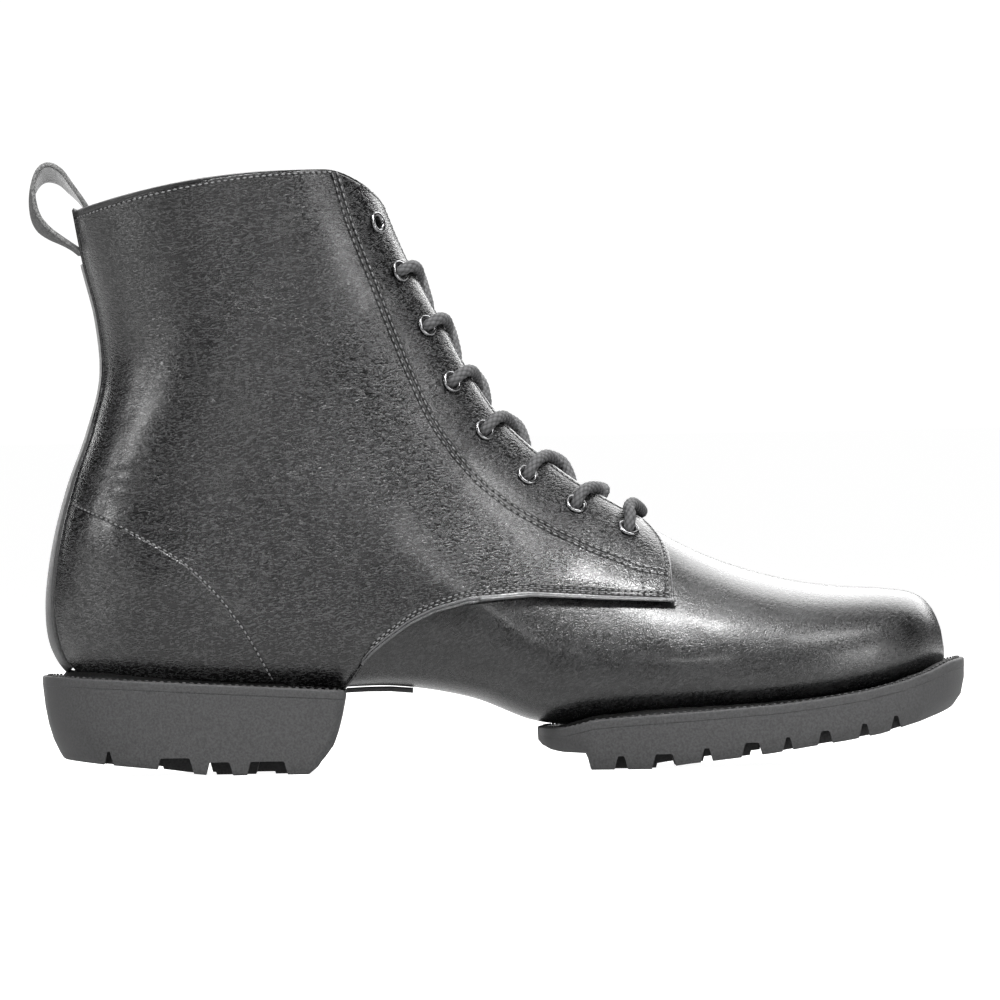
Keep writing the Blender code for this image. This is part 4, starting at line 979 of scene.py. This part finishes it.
sole = {
    "layer": 3.0,
    "lugDepth": 4.3,
    "lugLength": 17.0,
    "channel": 4.0,
    "flareRoot": -0.5,       # lugs lean, so a notch is narrower at its root and wider at its mouth
    "flare": 2.0,
    "cutBelow": 5.0,
    "notchOutside": 6.0,
    "rootRound": 0.6,
    "sharpAngle": 35,
    "underRows": 400,        # rows and girth shares of the last that lie over the soles
    "underShares": 82,
    "layerInsets": (15.0, 12.0, 10.0, 8.0, 6.5, 5.0, 3.5),
    "layerEdge": (           # drop, inset
        (-0.05, 1.2), (0.0, 0.75), (-0.12, 0.3), (-0.45, 0.05), (-0.9, 0.0), (-2.7, 0.0), (-3.1, 0.03)),
    "treadRings": (          # share of the way down, extra inset
        (0.0, 0.02), (0.01, 0.0), (0.03, 0.0), (0.3, 0.0), (0.55, 0.0), (0.75, 0.0),
        (0.9, 0.0), (0.965, 0.05), (0.99, 0.25), (1.0, 0.6)),
    "teethIn": 1.9,
    "teethPitch": 2.4,
    "tooth": (0.75, 0.35, 0.30),
    "forefoot": (            # x, outer y, inner y
        (148.7, 2.0, 8.0), (147.4, -7.0, 16.5), (143.6, -17.0, 25.5), (137.0, -27.0, 33.5),
        (132.3, -31.6, 37.0), (127.0, -35.5, 39.8), (120.5, -39.3, 42.4), (113.0, -43.0, 44.8),
        (97.0, -48.3, 48.3), (80.0, -51.3, 49.9), (63.0, -52.0, 49.4), (46.0, -50.4, 46.8),
        (28.0, -45.5, 41.5), (19.5, -38.5, 35.5), (13.6, -28.0, 26.5), (11.3, -13.0, 12.5)),
    "forefootRim": (         # x, z
        (10.0, 13.4), (19.4, 13.6), (24.0, 14.6), (29.0, 15.9), (37.3, 16.6), (49.4, 17.4),
        (64.0, 18.3), (75.5, 19.1), (88.6, 20.0), (102.0, 21.5), (115.8, 23.5), (128.6, 26.4),
        (138.2, 29.5), (144.0, 32.2), (149.0, 33.4)),
    "forefootBottom": (
        (12.0, 7.2), (15.4, 6.2), (19.5, 5.6), (26.8, 5.3), (28.0, 0.0), (48.0, 0.0), (60.0, 1.6),
        (73.0, 2.9), (87.0, 4.5), (97.0, 6.1), (110.0, 7.9), (121.0, 9.8), (133.5, 13.3),
        (141.0, 16.0), (149.0, 19.4)),
    "heel": (                # x, half width
        (-147.3, 4.0), (-146.0, 12.0), (-142.3, 20.0), (-136.0, 27.2), (-126.5, 32.6),
        (-113.5, 35.6), (-100.0, 36.6), (-88.0, 36.8), (-75.0, 36.8), (-62.0, 36.6),
        (-56.5, 36.3), (-53.0, 35.8), (-50.2, 33.5)),
    "heelRim": ((-148.0, 32.6), (-50.0, 26.6)),
    "heelBottom": (
        (-148.0, 7.2), (-141.5, 5.8), (-127.0, 4.0), (-111.0, 2.4), (-101.0, 1.0), (-92.0, 0.0),
        (-62.0, 0.0), (-58.0, 3.2), (-50.0, 5.0)),
    "forefootSide": (        # share of the way down, inset, back end in, front end in
        (0.0, 0.03, 0.0, 0.0), (0.3, 0.1, 0.0, 0.0), (0.75, 0.5, 0.8, 0.7), (1.0, 1.4, 2.4, 2.6)),
    "heelSide": (
        (0.0, 0.03, 0.0, 0.0), (0.45, 0.3, 0.8, 1.4), (0.8, 0.6, 3.0, 3.6), (1.0, 1.2, 5.2, 7.5)),
    "forefootOuter": (       # notches and bars: x, width
        (37.7, 3.0), (51.4, 6.4), (65.0, 2.6), (79.5, 5.4), (91.0, 2.2), (103.0, 3.6), (115.6, 2.4),
        (125.8, 2.2)),
    "forefootInner": (
        (43.5, 6.4), (58.0, 3.0), (72.0, 5.4), (85.0, 2.6), (97.5, 4.6), (110.0, 2.4), (121.0, 3.0)),
    "forefootBars": ((52.0, 4.6), (67.0, 4.6), (82.0, 4.6), (97.0, 4.6), (111.0, 4.0)),
    "forefootChannel": (34.0, 46.0, 60.0, 73.0, 87.0, 97.0, 110.0, 121.0),
    "heelOuter": ((-126.0, 1.8), (-104.8, 10.4), (-90.6, 7.4), (-75.3, 11.8)),
    "heelInner": ((-118.0, 1.8), (-97.0, 5.4), (-83.5, 5.4), (-66.5, 6.6)),
    "heelBars": ((-112.0, 5.0), (-95.0, 5.0), (-76.0, 5.0)),
    "heelChannel": (-127.0, -111.0, -100.0, -88.0, -66.0),
}
heelRows = [(x, -half, half) for x, half in sole["heel"]]


# closed ring of points round a sole at one level, toe or back end first
def ringPoints(outline, inset, backIn, frontIn, height):
    edge = np.concatenate((outline[:, :2], outline[::-1][:, (0, 2)]))
    run = np.roll(edge, -1, axis=0) - np.roll(edge, 1, axis=0)
    normal = unit(np.stack((run[:, 1], -run[:, 0]), 1))
    centre = np.array(((edge[:, 0].min() + edge[:, 0].max()) / 2, 0.0))
    turn = np.sign(np.sum(normal * (edge - centre), axis=1))
    normal *= np.where(turn == 0, 1, turn)[:, None]
    share = (edge[:, 0] - edge[:, 0].min()) / np.ptp(edge[:, 0])
    x = edge[:, 0] - normal[:, 0] * inset + backIn * (1 - share) - frontIn * share
    y = edge[:, 1] - normal[:, 1] * inset
    return np.stack((x, y, height(edge[:, 0], x)), 1)


# wall of rings from top to bottom, closed across at both ends
def makeRings(name, rings, nodes, materials, paintedShadeRings=0):
    bm = bmesh.new()
    total = len(rings[0])
    half = total // 2
    loops = []
    for ring in rings:
        verts = [bm.verts.new(point) for point in toScene(ring)]
        loops.append([bm.edges.new((verts[k], verts[(k + 1) % total])) for k in range(total)])
    # faces of the first rings get the second material, the near-black painted shade
    for k, (upper, lower) in enumerate(zip(loops[:-1], loops[1:])):
        made = bmesh.ops.bridge_loops(bm, edges=upper + lower)
        for face in made["faces"]:
            face.material_index = 1 if k < paintedShadeRings else 0
    for ring in (loops[0], loops[-1]):
        bmesh.ops.bridge_loops(bm, edges=ring[:half - 1] + ring[half:-1])
    bmesh.ops.recalc_face_normals(bm, faces=bm.faces)
    return finishMesh(name, bm, nodes, materials)


def sideAt(table, down):
    rows = np.asarray(table, dtype=float)
    return [float(np.interp(down, rows[:, 0], rows[:, k])) for k in (1, 2, 3)]


underPoints = np.concatenate([
    surface[side]["points"][:sole["underRows"], :sole["underShares"]].reshape(-1, 3)
    for side in (outerSide, innerSide)])


# height of the upper's bottom over points of the floor
def underUpper(x, y):
    found = []
    for px, py in zip(x, y):
        gap = (underPoints[:, 0] - px)**2 + (underPoints[:, 1] - py)**2
        found.append(underPoints[gap < max(gap.min() * 1.2, 4.0), 2].min())
    return np.array(found)


# thin layer whose top reaches in under the upper, with a small round at its edge
def makeLayer(name, outline, rim, node, flatFrom):
    rings = []
    for inset in sole["layerInsets"]:
        ring = ringPoints(outline, inset, 0.0, 0.0, lambda x, moved: tableAt(rim, x))
        climb = np.clip((flatFrom - ring[:, 0]) / 10, 0, 1)     # none near the heel's breast
        allowed = ring[:, 2] - 0.4 + 2.5 * max(0.0, inset - 6.5) * climb
        ring[:, 2] = np.minimum(underUpper(ring[:, 0], ring[:, 1]) - 0.5, allowed)
        rings.append(ring)
    for drop, inset in sole["layerEdge"]:
        ring = ringPoints(outline, inset, 0.0, 0.0, lambda x, moved: tableAt(rim, x))
        ring[:, 2] += drop
        rings.append(ring)
    # the inner rings, in the shade under the upper, get the near-black painted shade
    makeRings(name, rings, [node], [rubberLook, paintedShadeLook], len(sole["layerInsets"]))


def makeTreadBlock(name, outline, rim, bottom, sides, node):
    top = sole["layer"] + 0.12
    rings = []
    for down, extra in sole["treadRings"]:
        inset, backIn, frontIn = sideAt(sides, down)

        def height(x, moved, down=down):
            high = tableAt(rim, x) - top
            return high + down * (tableAt(bottom, moved) - high)
        rings.append(ringPoints(outline, inset + extra, backIn, frontIn, height))
    return makeRings(name, rings, [node], [rubberLook])


def addWedge(bm, x, width, yFrom, yTo, root, floorZ):
    made = bmesh.ops.create_cube(bm, size=1.0)
    for vert in made["verts"]:
        half = width / 2 + (sole["flareRoot"] if vert.co.z > 0 else sole["flare"])
        point = (x + half * (1 if vert.co.x > 0 else -1), yTo if vert.co.y > 0 else yFrom,
                 root if vert.co.z > 0 else floorZ - sole["cutBelow"])
        vert.co = Vector(toScene(point))
    rootEdges = [e for e in {e for v in made["verts"] for e in v.link_edges}
                 if all(abs(v.co.z - root * mm) < 1e-6 for v in e.verts)
                 and abs(e.verts[0].co.x - e.verts[1].co.x) < 1e-6]
    rounding = min(sole["rootRound"], 0.5 * (width / 2 + sole["flareRoot"]))
    bmesh.ops.bevel(bm, geom=rootEdges, offset=rounding * mm, offset_type="OFFSET", affect="EDGES",
                    segments=3, profile=0.5, material=-1)


# groove along a line of places, as a chain of four-sided rings
def addChannel(bm, line, bottom):
    chains = []
    for x, y in line:
        floorZ = float(tableAt(bottom, x))
        half = sole["channel"] / 2
        corners = ((y - half, floorZ + sole["lugDepth"]), (y + half, floorZ + sole["lugDepth"]),
                   (y + half + 0.4, floorZ - sole["cutBelow"]),
                   (y - half - 0.4, floorZ - sole["cutBelow"]))
        verts = [bm.verts.new(toScene((x, cornerY, cornerZ))) for cornerY, cornerZ in corners]
        chains.append([bm.edges.new((verts[k], verts[(k + 1) % 4])) for k in range(4)])
    for a, b in zip(chains[:-1], chains[1:]):
        bmesh.ops.bridge_loops(bm, edges=a + b)
    bmesh.ops.holes_fill(bm, edges=chains[0] + chains[-1])


def cutWith(piece, bm, name):
    bmesh.ops.recalc_face_normals(bm, faces=bm.faces)
    cutter = addObject(name, meshFrom(name, bm))
    modifier = piece.modifiers.new("cut", "BOOLEAN")
    modifier.operation = "DIFFERENCE"
    modifier.solver = "EXACT"
    modifier.object = cutter
    bakeModifiers(piece)
    bpy.data.objects.remove(cutter, do_unlink=True)


def cutTread(piece, outline, bottom, outer, inner, bars, channel):
    inside = sole["lugLength"] + sole["channel"] / 2
    outside = sole["notchOutside"]
    order = np.argsort(outline[:, 0])

    def edgeAt(x, column):
        return float(np.interp(x, outline[order, 0], outline[order, column]))
    bm = bmesh.new()
    for column in (1, 2):
        line = [(x, edgeAt(x, column) + (inside if column == 1 else -inside)) for x in channel]
        addChannel(bm, line, bottom)
    cutWith(piece, bm, "channelCutter")
    for wedges in ([(x, w, edgeAt(x, 1) - outside, edgeAt(x, 1) + inside) for x, w in outer]
                   + [(x, w, edgeAt(x, 2) - inside, edgeAt(x, 2) + outside) for x, w in inner],
                   [(x, w, edgeAt(x, 1) + inside, edgeAt(x, 2) - inside) for x, w in bars]):
        bm = bmesh.new()
        for x, width, yFrom, yTo in wedges:
            floorZ = float(tableAt(bottom, x))
            addWedge(bm, x, width, yFrom, yTo, floorZ + sole["lugDepth"], floorZ)
        cutWith(piece, bm, "notchCutter")
    piece.data.set_sharp_from_angle(angle=math.radians(sole["sharpAngle"]))


forefootOutline = smoothPath(sole["forefoot"], 130)
heelOutline = smoothPath(heelRows, 110)
makeLayer("forefootLayer", forefootOutline, sole["forefootRim"], "forefoot_midsole", 200.0)
makeLayer("heelLayer", heelOutline, sole["heelRim"], "heel_seat", -66.0)
for word, outline, node in (("forefoot", forefootOutline, "forefoot_outsole"),
                            ("heel", heelOutline, "heel_block")):
    bottom = sole[word + "Bottom"]
    tread = makeTreadBlock(word + "Tread", outline, sole[word + "Rim"], bottom, sole[word + "Side"], node)
    cutTread(tread, outline, bottom, sole[word + "Outer"], sole[word + "Inner"],
             sole[word + "Bars"], sole[word + "Channel"])
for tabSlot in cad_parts["waist_tab"].material_slots:
    tabSlot.material = rubberLook
print("soles made")


def makeEyelets():
    seat = last["gap"] * 2 + quarter["skin"] - 0.1
    high = seat + eyelet["rise"]
    profile = (              # radius, height
        (2.05, -2.6), (2.9, -2.5), (2.9, -2.2), (2.3, -2.0), (2.3, seat), (3.55, seat), (3.62, seat + 0.2),
        (3.4, high - 0.18), (3.0, high), (2.55, high - 0.08), (2.15, high - 0.35), (1.97, high - 0.8),
        (1.95, -2.2))
    bm = bmesh.new()
    for side in (outerSide, innerSide):
        for index in range(len(eyelet["places"])):
            centre, axis = eyeletCentre(side, index, 0.0)
            verts = [bm.verts.new((r * mm, 0.0, h * mm)) for r, h in profile]
            ring = [bm.edges.new((verts[k], verts[(k + 1) % len(verts)])) for k in range(len(verts))]
            bmesh.ops.spin(bm, geom=verts + ring, cent=(0, 0, 0), axis=(0, 0, 1), angle=2 * math.pi,
                           steps=eyelet["steps"], use_merge=True)
            touched = {v for v in bm.verts if not v.tag}
            turn = Vector((0, 0, 1)).rotation_difference(Vector(axis)).to_matrix().to_4x4()
            place = Matrix.Translation(Vector(toScene(centre))) @ turn
            bmesh.ops.transform(bm, matrix=place, verts=list(touched))
            for vert in touched:
                vert.tag = True
    bmesh.ops.remove_doubles(bm, verts=bm.verts, dist=1e-7)
    bmesh.ops.recalc_face_normals(bm, faces=bm.faces)
    nodes = ["eyelet_" + word + "_" + str(k + 1) for word in ("lateral", "medial") for k in range(8)]
    finishMesh("eyelets", bm, nodes, [metalLook])


lace = {
    "radius": 1.95,
    "squeezed": 1.75,        # where it goes through a ring
    "crowns": (3.2, 4.0, 4.2, 4.0, 3.4, 2.6, 2.4),
    "plaits": 6,
    "plaitLength": 2.5,
    "plaitDepth": 0.30,
    "sides": 32,
    "step": 0.27,
    "drops": (0.12, 0.28, 0.56, 0.88),   # a strand's corners, as shares of the way to the next pair
    "lower": {innerSide: 0.6, outerSide: 2.4},    # how far a strand passes under its crown
}
laceHeight = last["gap"] * 2 + quarter["skin"] + lace["radius"]


def ridgePoint(s, height):
    point = pointOn(outerSide, s, 1.0, height)
    return np.array((point[0], station(s)["mid"], point[2]))


def strandPath(index, side):
    s, phi = eyeletPlaces[index]
    drop = eyeletPlaces[index - 1][0] - s
    start, edge, middle, end = [s + share * drop for share in lace["drops"]]
    end = max(end, float(bentRow(np.array(last["throat"]), 1.0)) + 0.3)
    middle = max(middle, end)
    row = station(end)
    lastPoint = ridgePoint(end, -0.2)
    lastPoint[1] = row["mid"] - side * (row["gap"] - lace["radius"] - 0.3)
    hidden = pointOn(-side, end + 0.06 * drop, 1 - 0.02, -last["wall"] - 1.9)
    inside = eyeletCentre(side, index, eyelet["inside"])[0]
    mouth = eyeletCentre(side, index, eyelet["mouth"])[0]
    first = pointOn(side, s + 0.03 * drop, phi + 0.30 * (1 - phi), laceHeight - 0.2)
    second = pointOn(side, start, phi + 0.62 * (1 - phi), laceHeight - 0.3)
    over = pointOn(side, edge, 1.0, laceHeight - 1.0)
    top = ridgePoint(middle, lace["crowns"][index] - lace["lower"][side])
    return [inside, mouth, first, second, over, top, lastPoint, hidden]


# the bar across the lowest pair bows up and leans to the toe
def barPath():
    s, phi = eyeletPlaces[0]
    step = eyeletPlaces[1][0] - s
    path = [eyeletCentre(outerSide, 0, eyelet[key])[0] for key in ("inside", "mouth")]
    for side, back, share, rise in ((outerSide, 0.03, 0.30, 0.0), (outerSide, 0.09, 0.64, 0.2),
                                    (outerSide, 0.04, 1.0, 0.4), (None, -0.10, 1.0, 0.2),
                                    (innerSide, -0.18, 1.0, -0.6), (innerSide, -0.10, 0.64, -0.2),
                                    (innerSide, 0.0, 0.30, 0.0)):
        at = s + back * step
        if side is None:
            path.append(ridgePoint(at, laceHeight + rise))
        else:
            path.append(pointOn(side, at, phi + share * (1 - phi), laceHeight + rise))
    return path + [eyeletCentre(innerSide, 0, eyelet[key])[0] for key in ("mouth", "inside")]


# round braided cord along a smooth path, with its plaits as raised diamonds
def addCord(bm, corners, plait):
    path = smoothPath(corners, 240)
    length = lengthAlong(path)
    count = int(length[-1] / lace["step"])
    at = np.linspace(0, length[-1], count + 1)
    path = pointsAt(at, length, path)
    run = unit(np.gradient(path, axis=0))
    ups = np.zeros((count + 1, 3))
    up = np.cross(run[0], (0.3, 0.2, 0.93))
    for i in range(count + 1):
        up = up - run[i] * np.dot(up, run[i])
        up /= np.linalg.norm(up)
        ups[i] = up
    asides = np.cross(run, ups)
    made = bmesh.ops.create_grid(bm, x_segments=lace["sides"], y_segments=count, size=0.5)
    place = np.array([vert.co[:2] for vert in made["verts"]]) + 0.5
    i = np.rint(place[:, 1] * count).astype(int)
    turn = place[:, 0] * 2 * math.pi
    slant = math.pi * at[i] / lace["plaitLength"]
    wave = lace["plaits"] / 2 * turn
    lump = np.sqrt(np.abs(np.sin(wave + slant) * np.sin(wave - slant)))
    thick = np.interp(at[i], (0.0, 3.0, 6.0), (lace["squeezed"], lace["squeezed"], lace["radius"]))
    radius = thick - lace["plaitDepth"] * (1 - lump)
    out = np.cos(turn)[:, None] * ups[i] + np.sin(turn)[:, None] * asides[i]
    points = path[i] + radius[:, None] * out
    for vert, point, high in zip(made["verts"], toScene(points), lump):
        vert.co = point
        vert[plait] = high


def makeLace():
    bm = bmesh.new()
    plait = bm.verts.layers.float.new("plait")
    addCord(bm, barPath(), plait)
    for index in range(1, len(lace["crowns"])):
        for side in (outerSide, innerSide):
            addCord(bm, strandPath(index, side), plait)
    bmesh.ops.remove_doubles(bm, verts=bm.verts, dist=1e-6)
    bmesh.ops.holes_fill(bm, edges=[e for e in bm.edges if e.is_boundary])
    bmesh.ops.recalc_face_normals(bm, faces=bm.faces)
    nodes = ["lace_crossing_" + str(k + 1) for k in range(len(lace["crowns"]))]
    finishMesh("laceCord", bm, nodes, [laceLook])


makeEyelets()
makeLace()
print("eyelets and lace made")


def unitBead(name, around, rings):
    bm = bmesh.new()
    bmesh.ops.create_uvsphere(bm, u_segments=around, v_segments=rings, radius=1.0)
    return meshFrom(name, bm)


stitchBead = unitBead("stitchBead", 6, 4)


def addBead(bm, spot, run, up, size):
    aside = up.cross(run).normalized()
    turn = Matrix((run, aside, run.cross(aside))).transposed().to_4x4()
    shape = Matrix.Diagonal((*[v * mm for v in size], 1.0))
    bead = stitchBead.copy()
    bead.transform(Matrix.Translation(Vector(toScene(spot))) @ turn @ shape)
    bm.from_mesh(bead)
    bpy.data.meshes.remove(bead)


# stitches along rows of places on the last, with a near-black bead between each two: painted shade in the
# needle hole
def addStitches(bm, holes, side, s, phi, height, pitch):
    flat, normal = onLast(side, s, phi)
    inside = np.minimum(phi - lowShare(side, s), topShare(side, s) - phi) * girthAt(side, s)
    path = flat + normal * (height + foldHeight(flat) * np.clip(inside / 6, 0, 1))[:, None]
    length = lengthAlong(path)
    count = max(int(length[-1] / pitch), 1)
    at = (np.arange(2 * count) + 0.5) * length[-1] / (2 * count)
    spots = pointsAt(at, length, path)
    normals = pointsAt(at, length, normal)
    runs = pointsAt(at + 0.1, length, path) - pointsAt(at - 0.1, length, path)
    for k in range(2 * count):
        run = Vector(runs[k]).normalized()
        up = Vector(normals[k]).normalized()
        if k % 2 == 0:
            addBead(bm, spots[k], run, up, (sewn["share"] * pitch, sewn["width"], sewn["rise"]))
        else:
            addBead(holes, spots[k], run, up, (sewn["hole"], sewn["hole"], sewn["holeRise"]))


def offsetLine(line, distance):
    points = smoothPath(line, 120)
    run = unit(np.gradient(points, axis=0))
    return points + np.stack((-run[:, 1], run[:, 0]), 1) * distance


def placesOf(line):
    found = np.array([locate(x, z) for x, z in line])
    return found[:, 0], found[:, 1]


def makeStitches(side, word):
    bm = bmesh.new()
    holes = bmesh.new()

    def sew(s, phi, pitch=sewn["pitch"]):
        addStitches(bm, holes, side, s, phi, last["gap"] + quarter["skin"], pitch)
    for offset in (sewn["eyestayGap"], -sewn["eyestayGap"]):
        s, phi = placesOf(offsetLine(sewn["eyestay"], offset))
        keep = s < collar - 0.1
        sew(s[keep], phi[keep], sewn["longPitch"])
    for line in (sewn["counter"], sewn["cornerBox"]):
        sew(*placesOf(smoothPath(line, 80)))
    for row in sewn["lowRows"]:
        s = np.linspace(quarter["lobe"] + sewn["frontRow"], sewn["lowEnd"], 200)
        sew(s, lowShare(side, s) + row / girthAt(side, s))
    s = np.linspace(*sewn["rimPlaces"], 260)
    sew(s, topShare(side, s) - sewn["rimRow"] / girthAt(side, s))
    top = collar - 0.15
    phi = np.linspace(float(lowShare(side, top)) + 0.01, float(topShare(side, top)) - 0.02, 120)
    sew(np.full(len(phi), top), phi)
    rise = np.linspace(0.03, 0.97, 60)
    s = bentRow(np.full(len(rise), quarter["lobe"] + sewn["frontRow"]), rise)
    low = lowShare(side, s)
    sew(s, low + (topShare(side, s) - low) * rise)
    finishMesh("stitches" + word, bm, [], [threadSheenLook])
    # near-black beads: painted shade in the needle holes
    finishMesh("needleHoles" + word, holes, [], [paintedShadeLook])


# small teeth along the inner edge of the soles' rims
def makeTeeth():
    bm = bmesh.new()
    for outline, rim in ((forefootOutline, sole["forefootRim"]), (heelOutline, sole["heelRim"])):
        ring = ringPoints(outline, sole["teethIn"], 0.0, 0.0, lambda x, moved, rim=rim: tableAt(rim, x))
        ring[:, 2] += 0.1
        ring = np.concatenate((ring, ring[:1]))
        length = lengthAlong(ring)
        count = int(length[-1] / sole["teethPitch"])
        at = np.arange(count) * length[-1] / count
        for spot, after in zip(pointsAt(at, length, ring), pointsAt(at + 0.1, length, ring)):
            addBead(bm, spot, Vector(after - spot).normalized(), Vector((0.0, 0.0, 1.0)), sole["tooth"])
    finishMesh("soleTeeth", bm, [], [rubberLook])


makeStitches(outerSide, "Lateral")
makeStitches(innerSide, "Medial")
makeTeeth()
print("stitches made")


studio = {
    "distance": 6.0,
    "elevation": 0.4,
    "roll": -1.0,
    "frameWidth": 0.3212,
    "centre": (0.0004, 0.0, 0.0863),
    "backdrop": 1.05,        # what the camera sees past the floor
    "fill": 0.035,           # what the boot gets from all round
    "floorTone": 0.35,
    "floorGlow": (0.42, 0.98),   # to the boot and to the camera
    "lights": (              # name, place, target, width, height, power
        ("backBox", (0.35, 1.5, 1.2), (0.05, 0.0, 0.12), 2.4, 1.6, 62.0),
        ("leftBackBox", (-0.8, 1.6, 0.30), (-0.1, 0.0, 0.08), 0.6, 0.5, 4.0),
        ("topBox", (0.1, -0.1, 1.7), (0.0, 0.0, 0.1), 1.0, 0.6, 6.0),
        ("topMidBox", (0.03, -0.55, 1.32), (0.05, 0.0, 0.06), 0.42, 0.3, 26.0),
        ("frontBox", (0.06, -1.52, 0.54), (0.07, 0.0, 0.03), 0.4, 0.18, 3.7),
        ("topRightBox", (0.85, -0.75, 1.08), (0.05, 0.0, 0.06), 0.5, 0.4, 11.0),
        ("leftKey", (-1.26, -0.58, 0.54), (-0.11, 0.0, 0.07), 0.35, 0.25, 6.0),
        ("leftSide", (-1.38, -0.16, 0.42), (-0.11, 0.0, 0.07), 0.3, 0.2, 2.0),
        ("rightKey", (1.14, -0.78, 0.17), (-0.06, 0.0, 0.17), 0.35, 0.3, 5.0)),
}


def makeFloor():
    bm = bmesh.new()
    bmesh.ops.create_grid(bm, x_segments=1, y_segments=1, size=30.0)
    floor = addObject("floor", meshFrom("floor", bm))
    material, tree, shader = startMaterial("paleFloor")
    shader.inputs["Base Color"].default_value = (*[studio["floorTone"]] * 3, 1.0)
    shader.inputs["Roughness"].default_value = 0.9
    shader.inputs["Emission Color"].default_value = (1.0, 1.0, 1.0, 1.0)
    path = addNode(tree, "ShaderNodeLightPath")
    glow = mapRange(tree, path.outputs["Is Camera Ray"], 0.0, 1.0, *studio["floorGlow"], False)
    join(tree, glow, shader.inputs["Emission Strength"])
    floor.data.materials.append(material)


def makeLights():
    world = bpy.data.worlds.new("studio")
    bpy.context.scene.world = world
    world.use_nodes = True
    tree = world.node_tree
    path = addNode(tree, "ShaderNodeLightPath")
    seen = path.outputs["Is Camera Ray"]
    strength = mapRange(tree, seen, 0.0, 1.0, studio["fill"], studio["backdrop"], False)
    background = tree.nodes["Background"]
    background.inputs["Color"].default_value = (1.0, 1.0, 1.0, 1.0)
    join(tree, strength, background.inputs["Strength"])
    for name, place, target, width, height, power in studio["lights"]:
        light = bpy.data.lights.new(name, "AREA")
        light.shape = "RECTANGLE"
        light.size = width
        light.size_y = height
        light.energy = power
        lamp = addObject(name, light)
        lamp.location = place
        lamp.rotation_euler = (Vector(target) - Vector(place)).to_track_quat("-Z", "Y").to_euler()
        lamp.visible_camera = False
    bpy.context.scene.view_settings.view_transform = "Standard"


def makeCamera():
    camera = bpy.data.cameras.new("camera")
    camera.sensor_width = 36.0
    camera.lens = 36.0 * studio["distance"] / studio["frameWidth"]
    camera.clip_start = 0.1
    camera.clip_end = 100.0
    eye = addObject("camera", camera)
    tilt = math.radians(studio["elevation"])
    back = Vector((0.0, -math.cos(tilt), math.sin(tilt)))
    turn = (-back).to_track_quat("-Z", "Y").to_matrix()
    eye.matrix_world = (Matrix.Translation(Vector(studio["centre"]) + back * studio["distance"])
                        @ Matrix.Rotation(math.radians(studio["roll"]), 4, back) @ turn.to_4x4())
    bpy.context.scene.camera = eye


makeFloor()
makeLights()
makeCamera()
print("studio made")
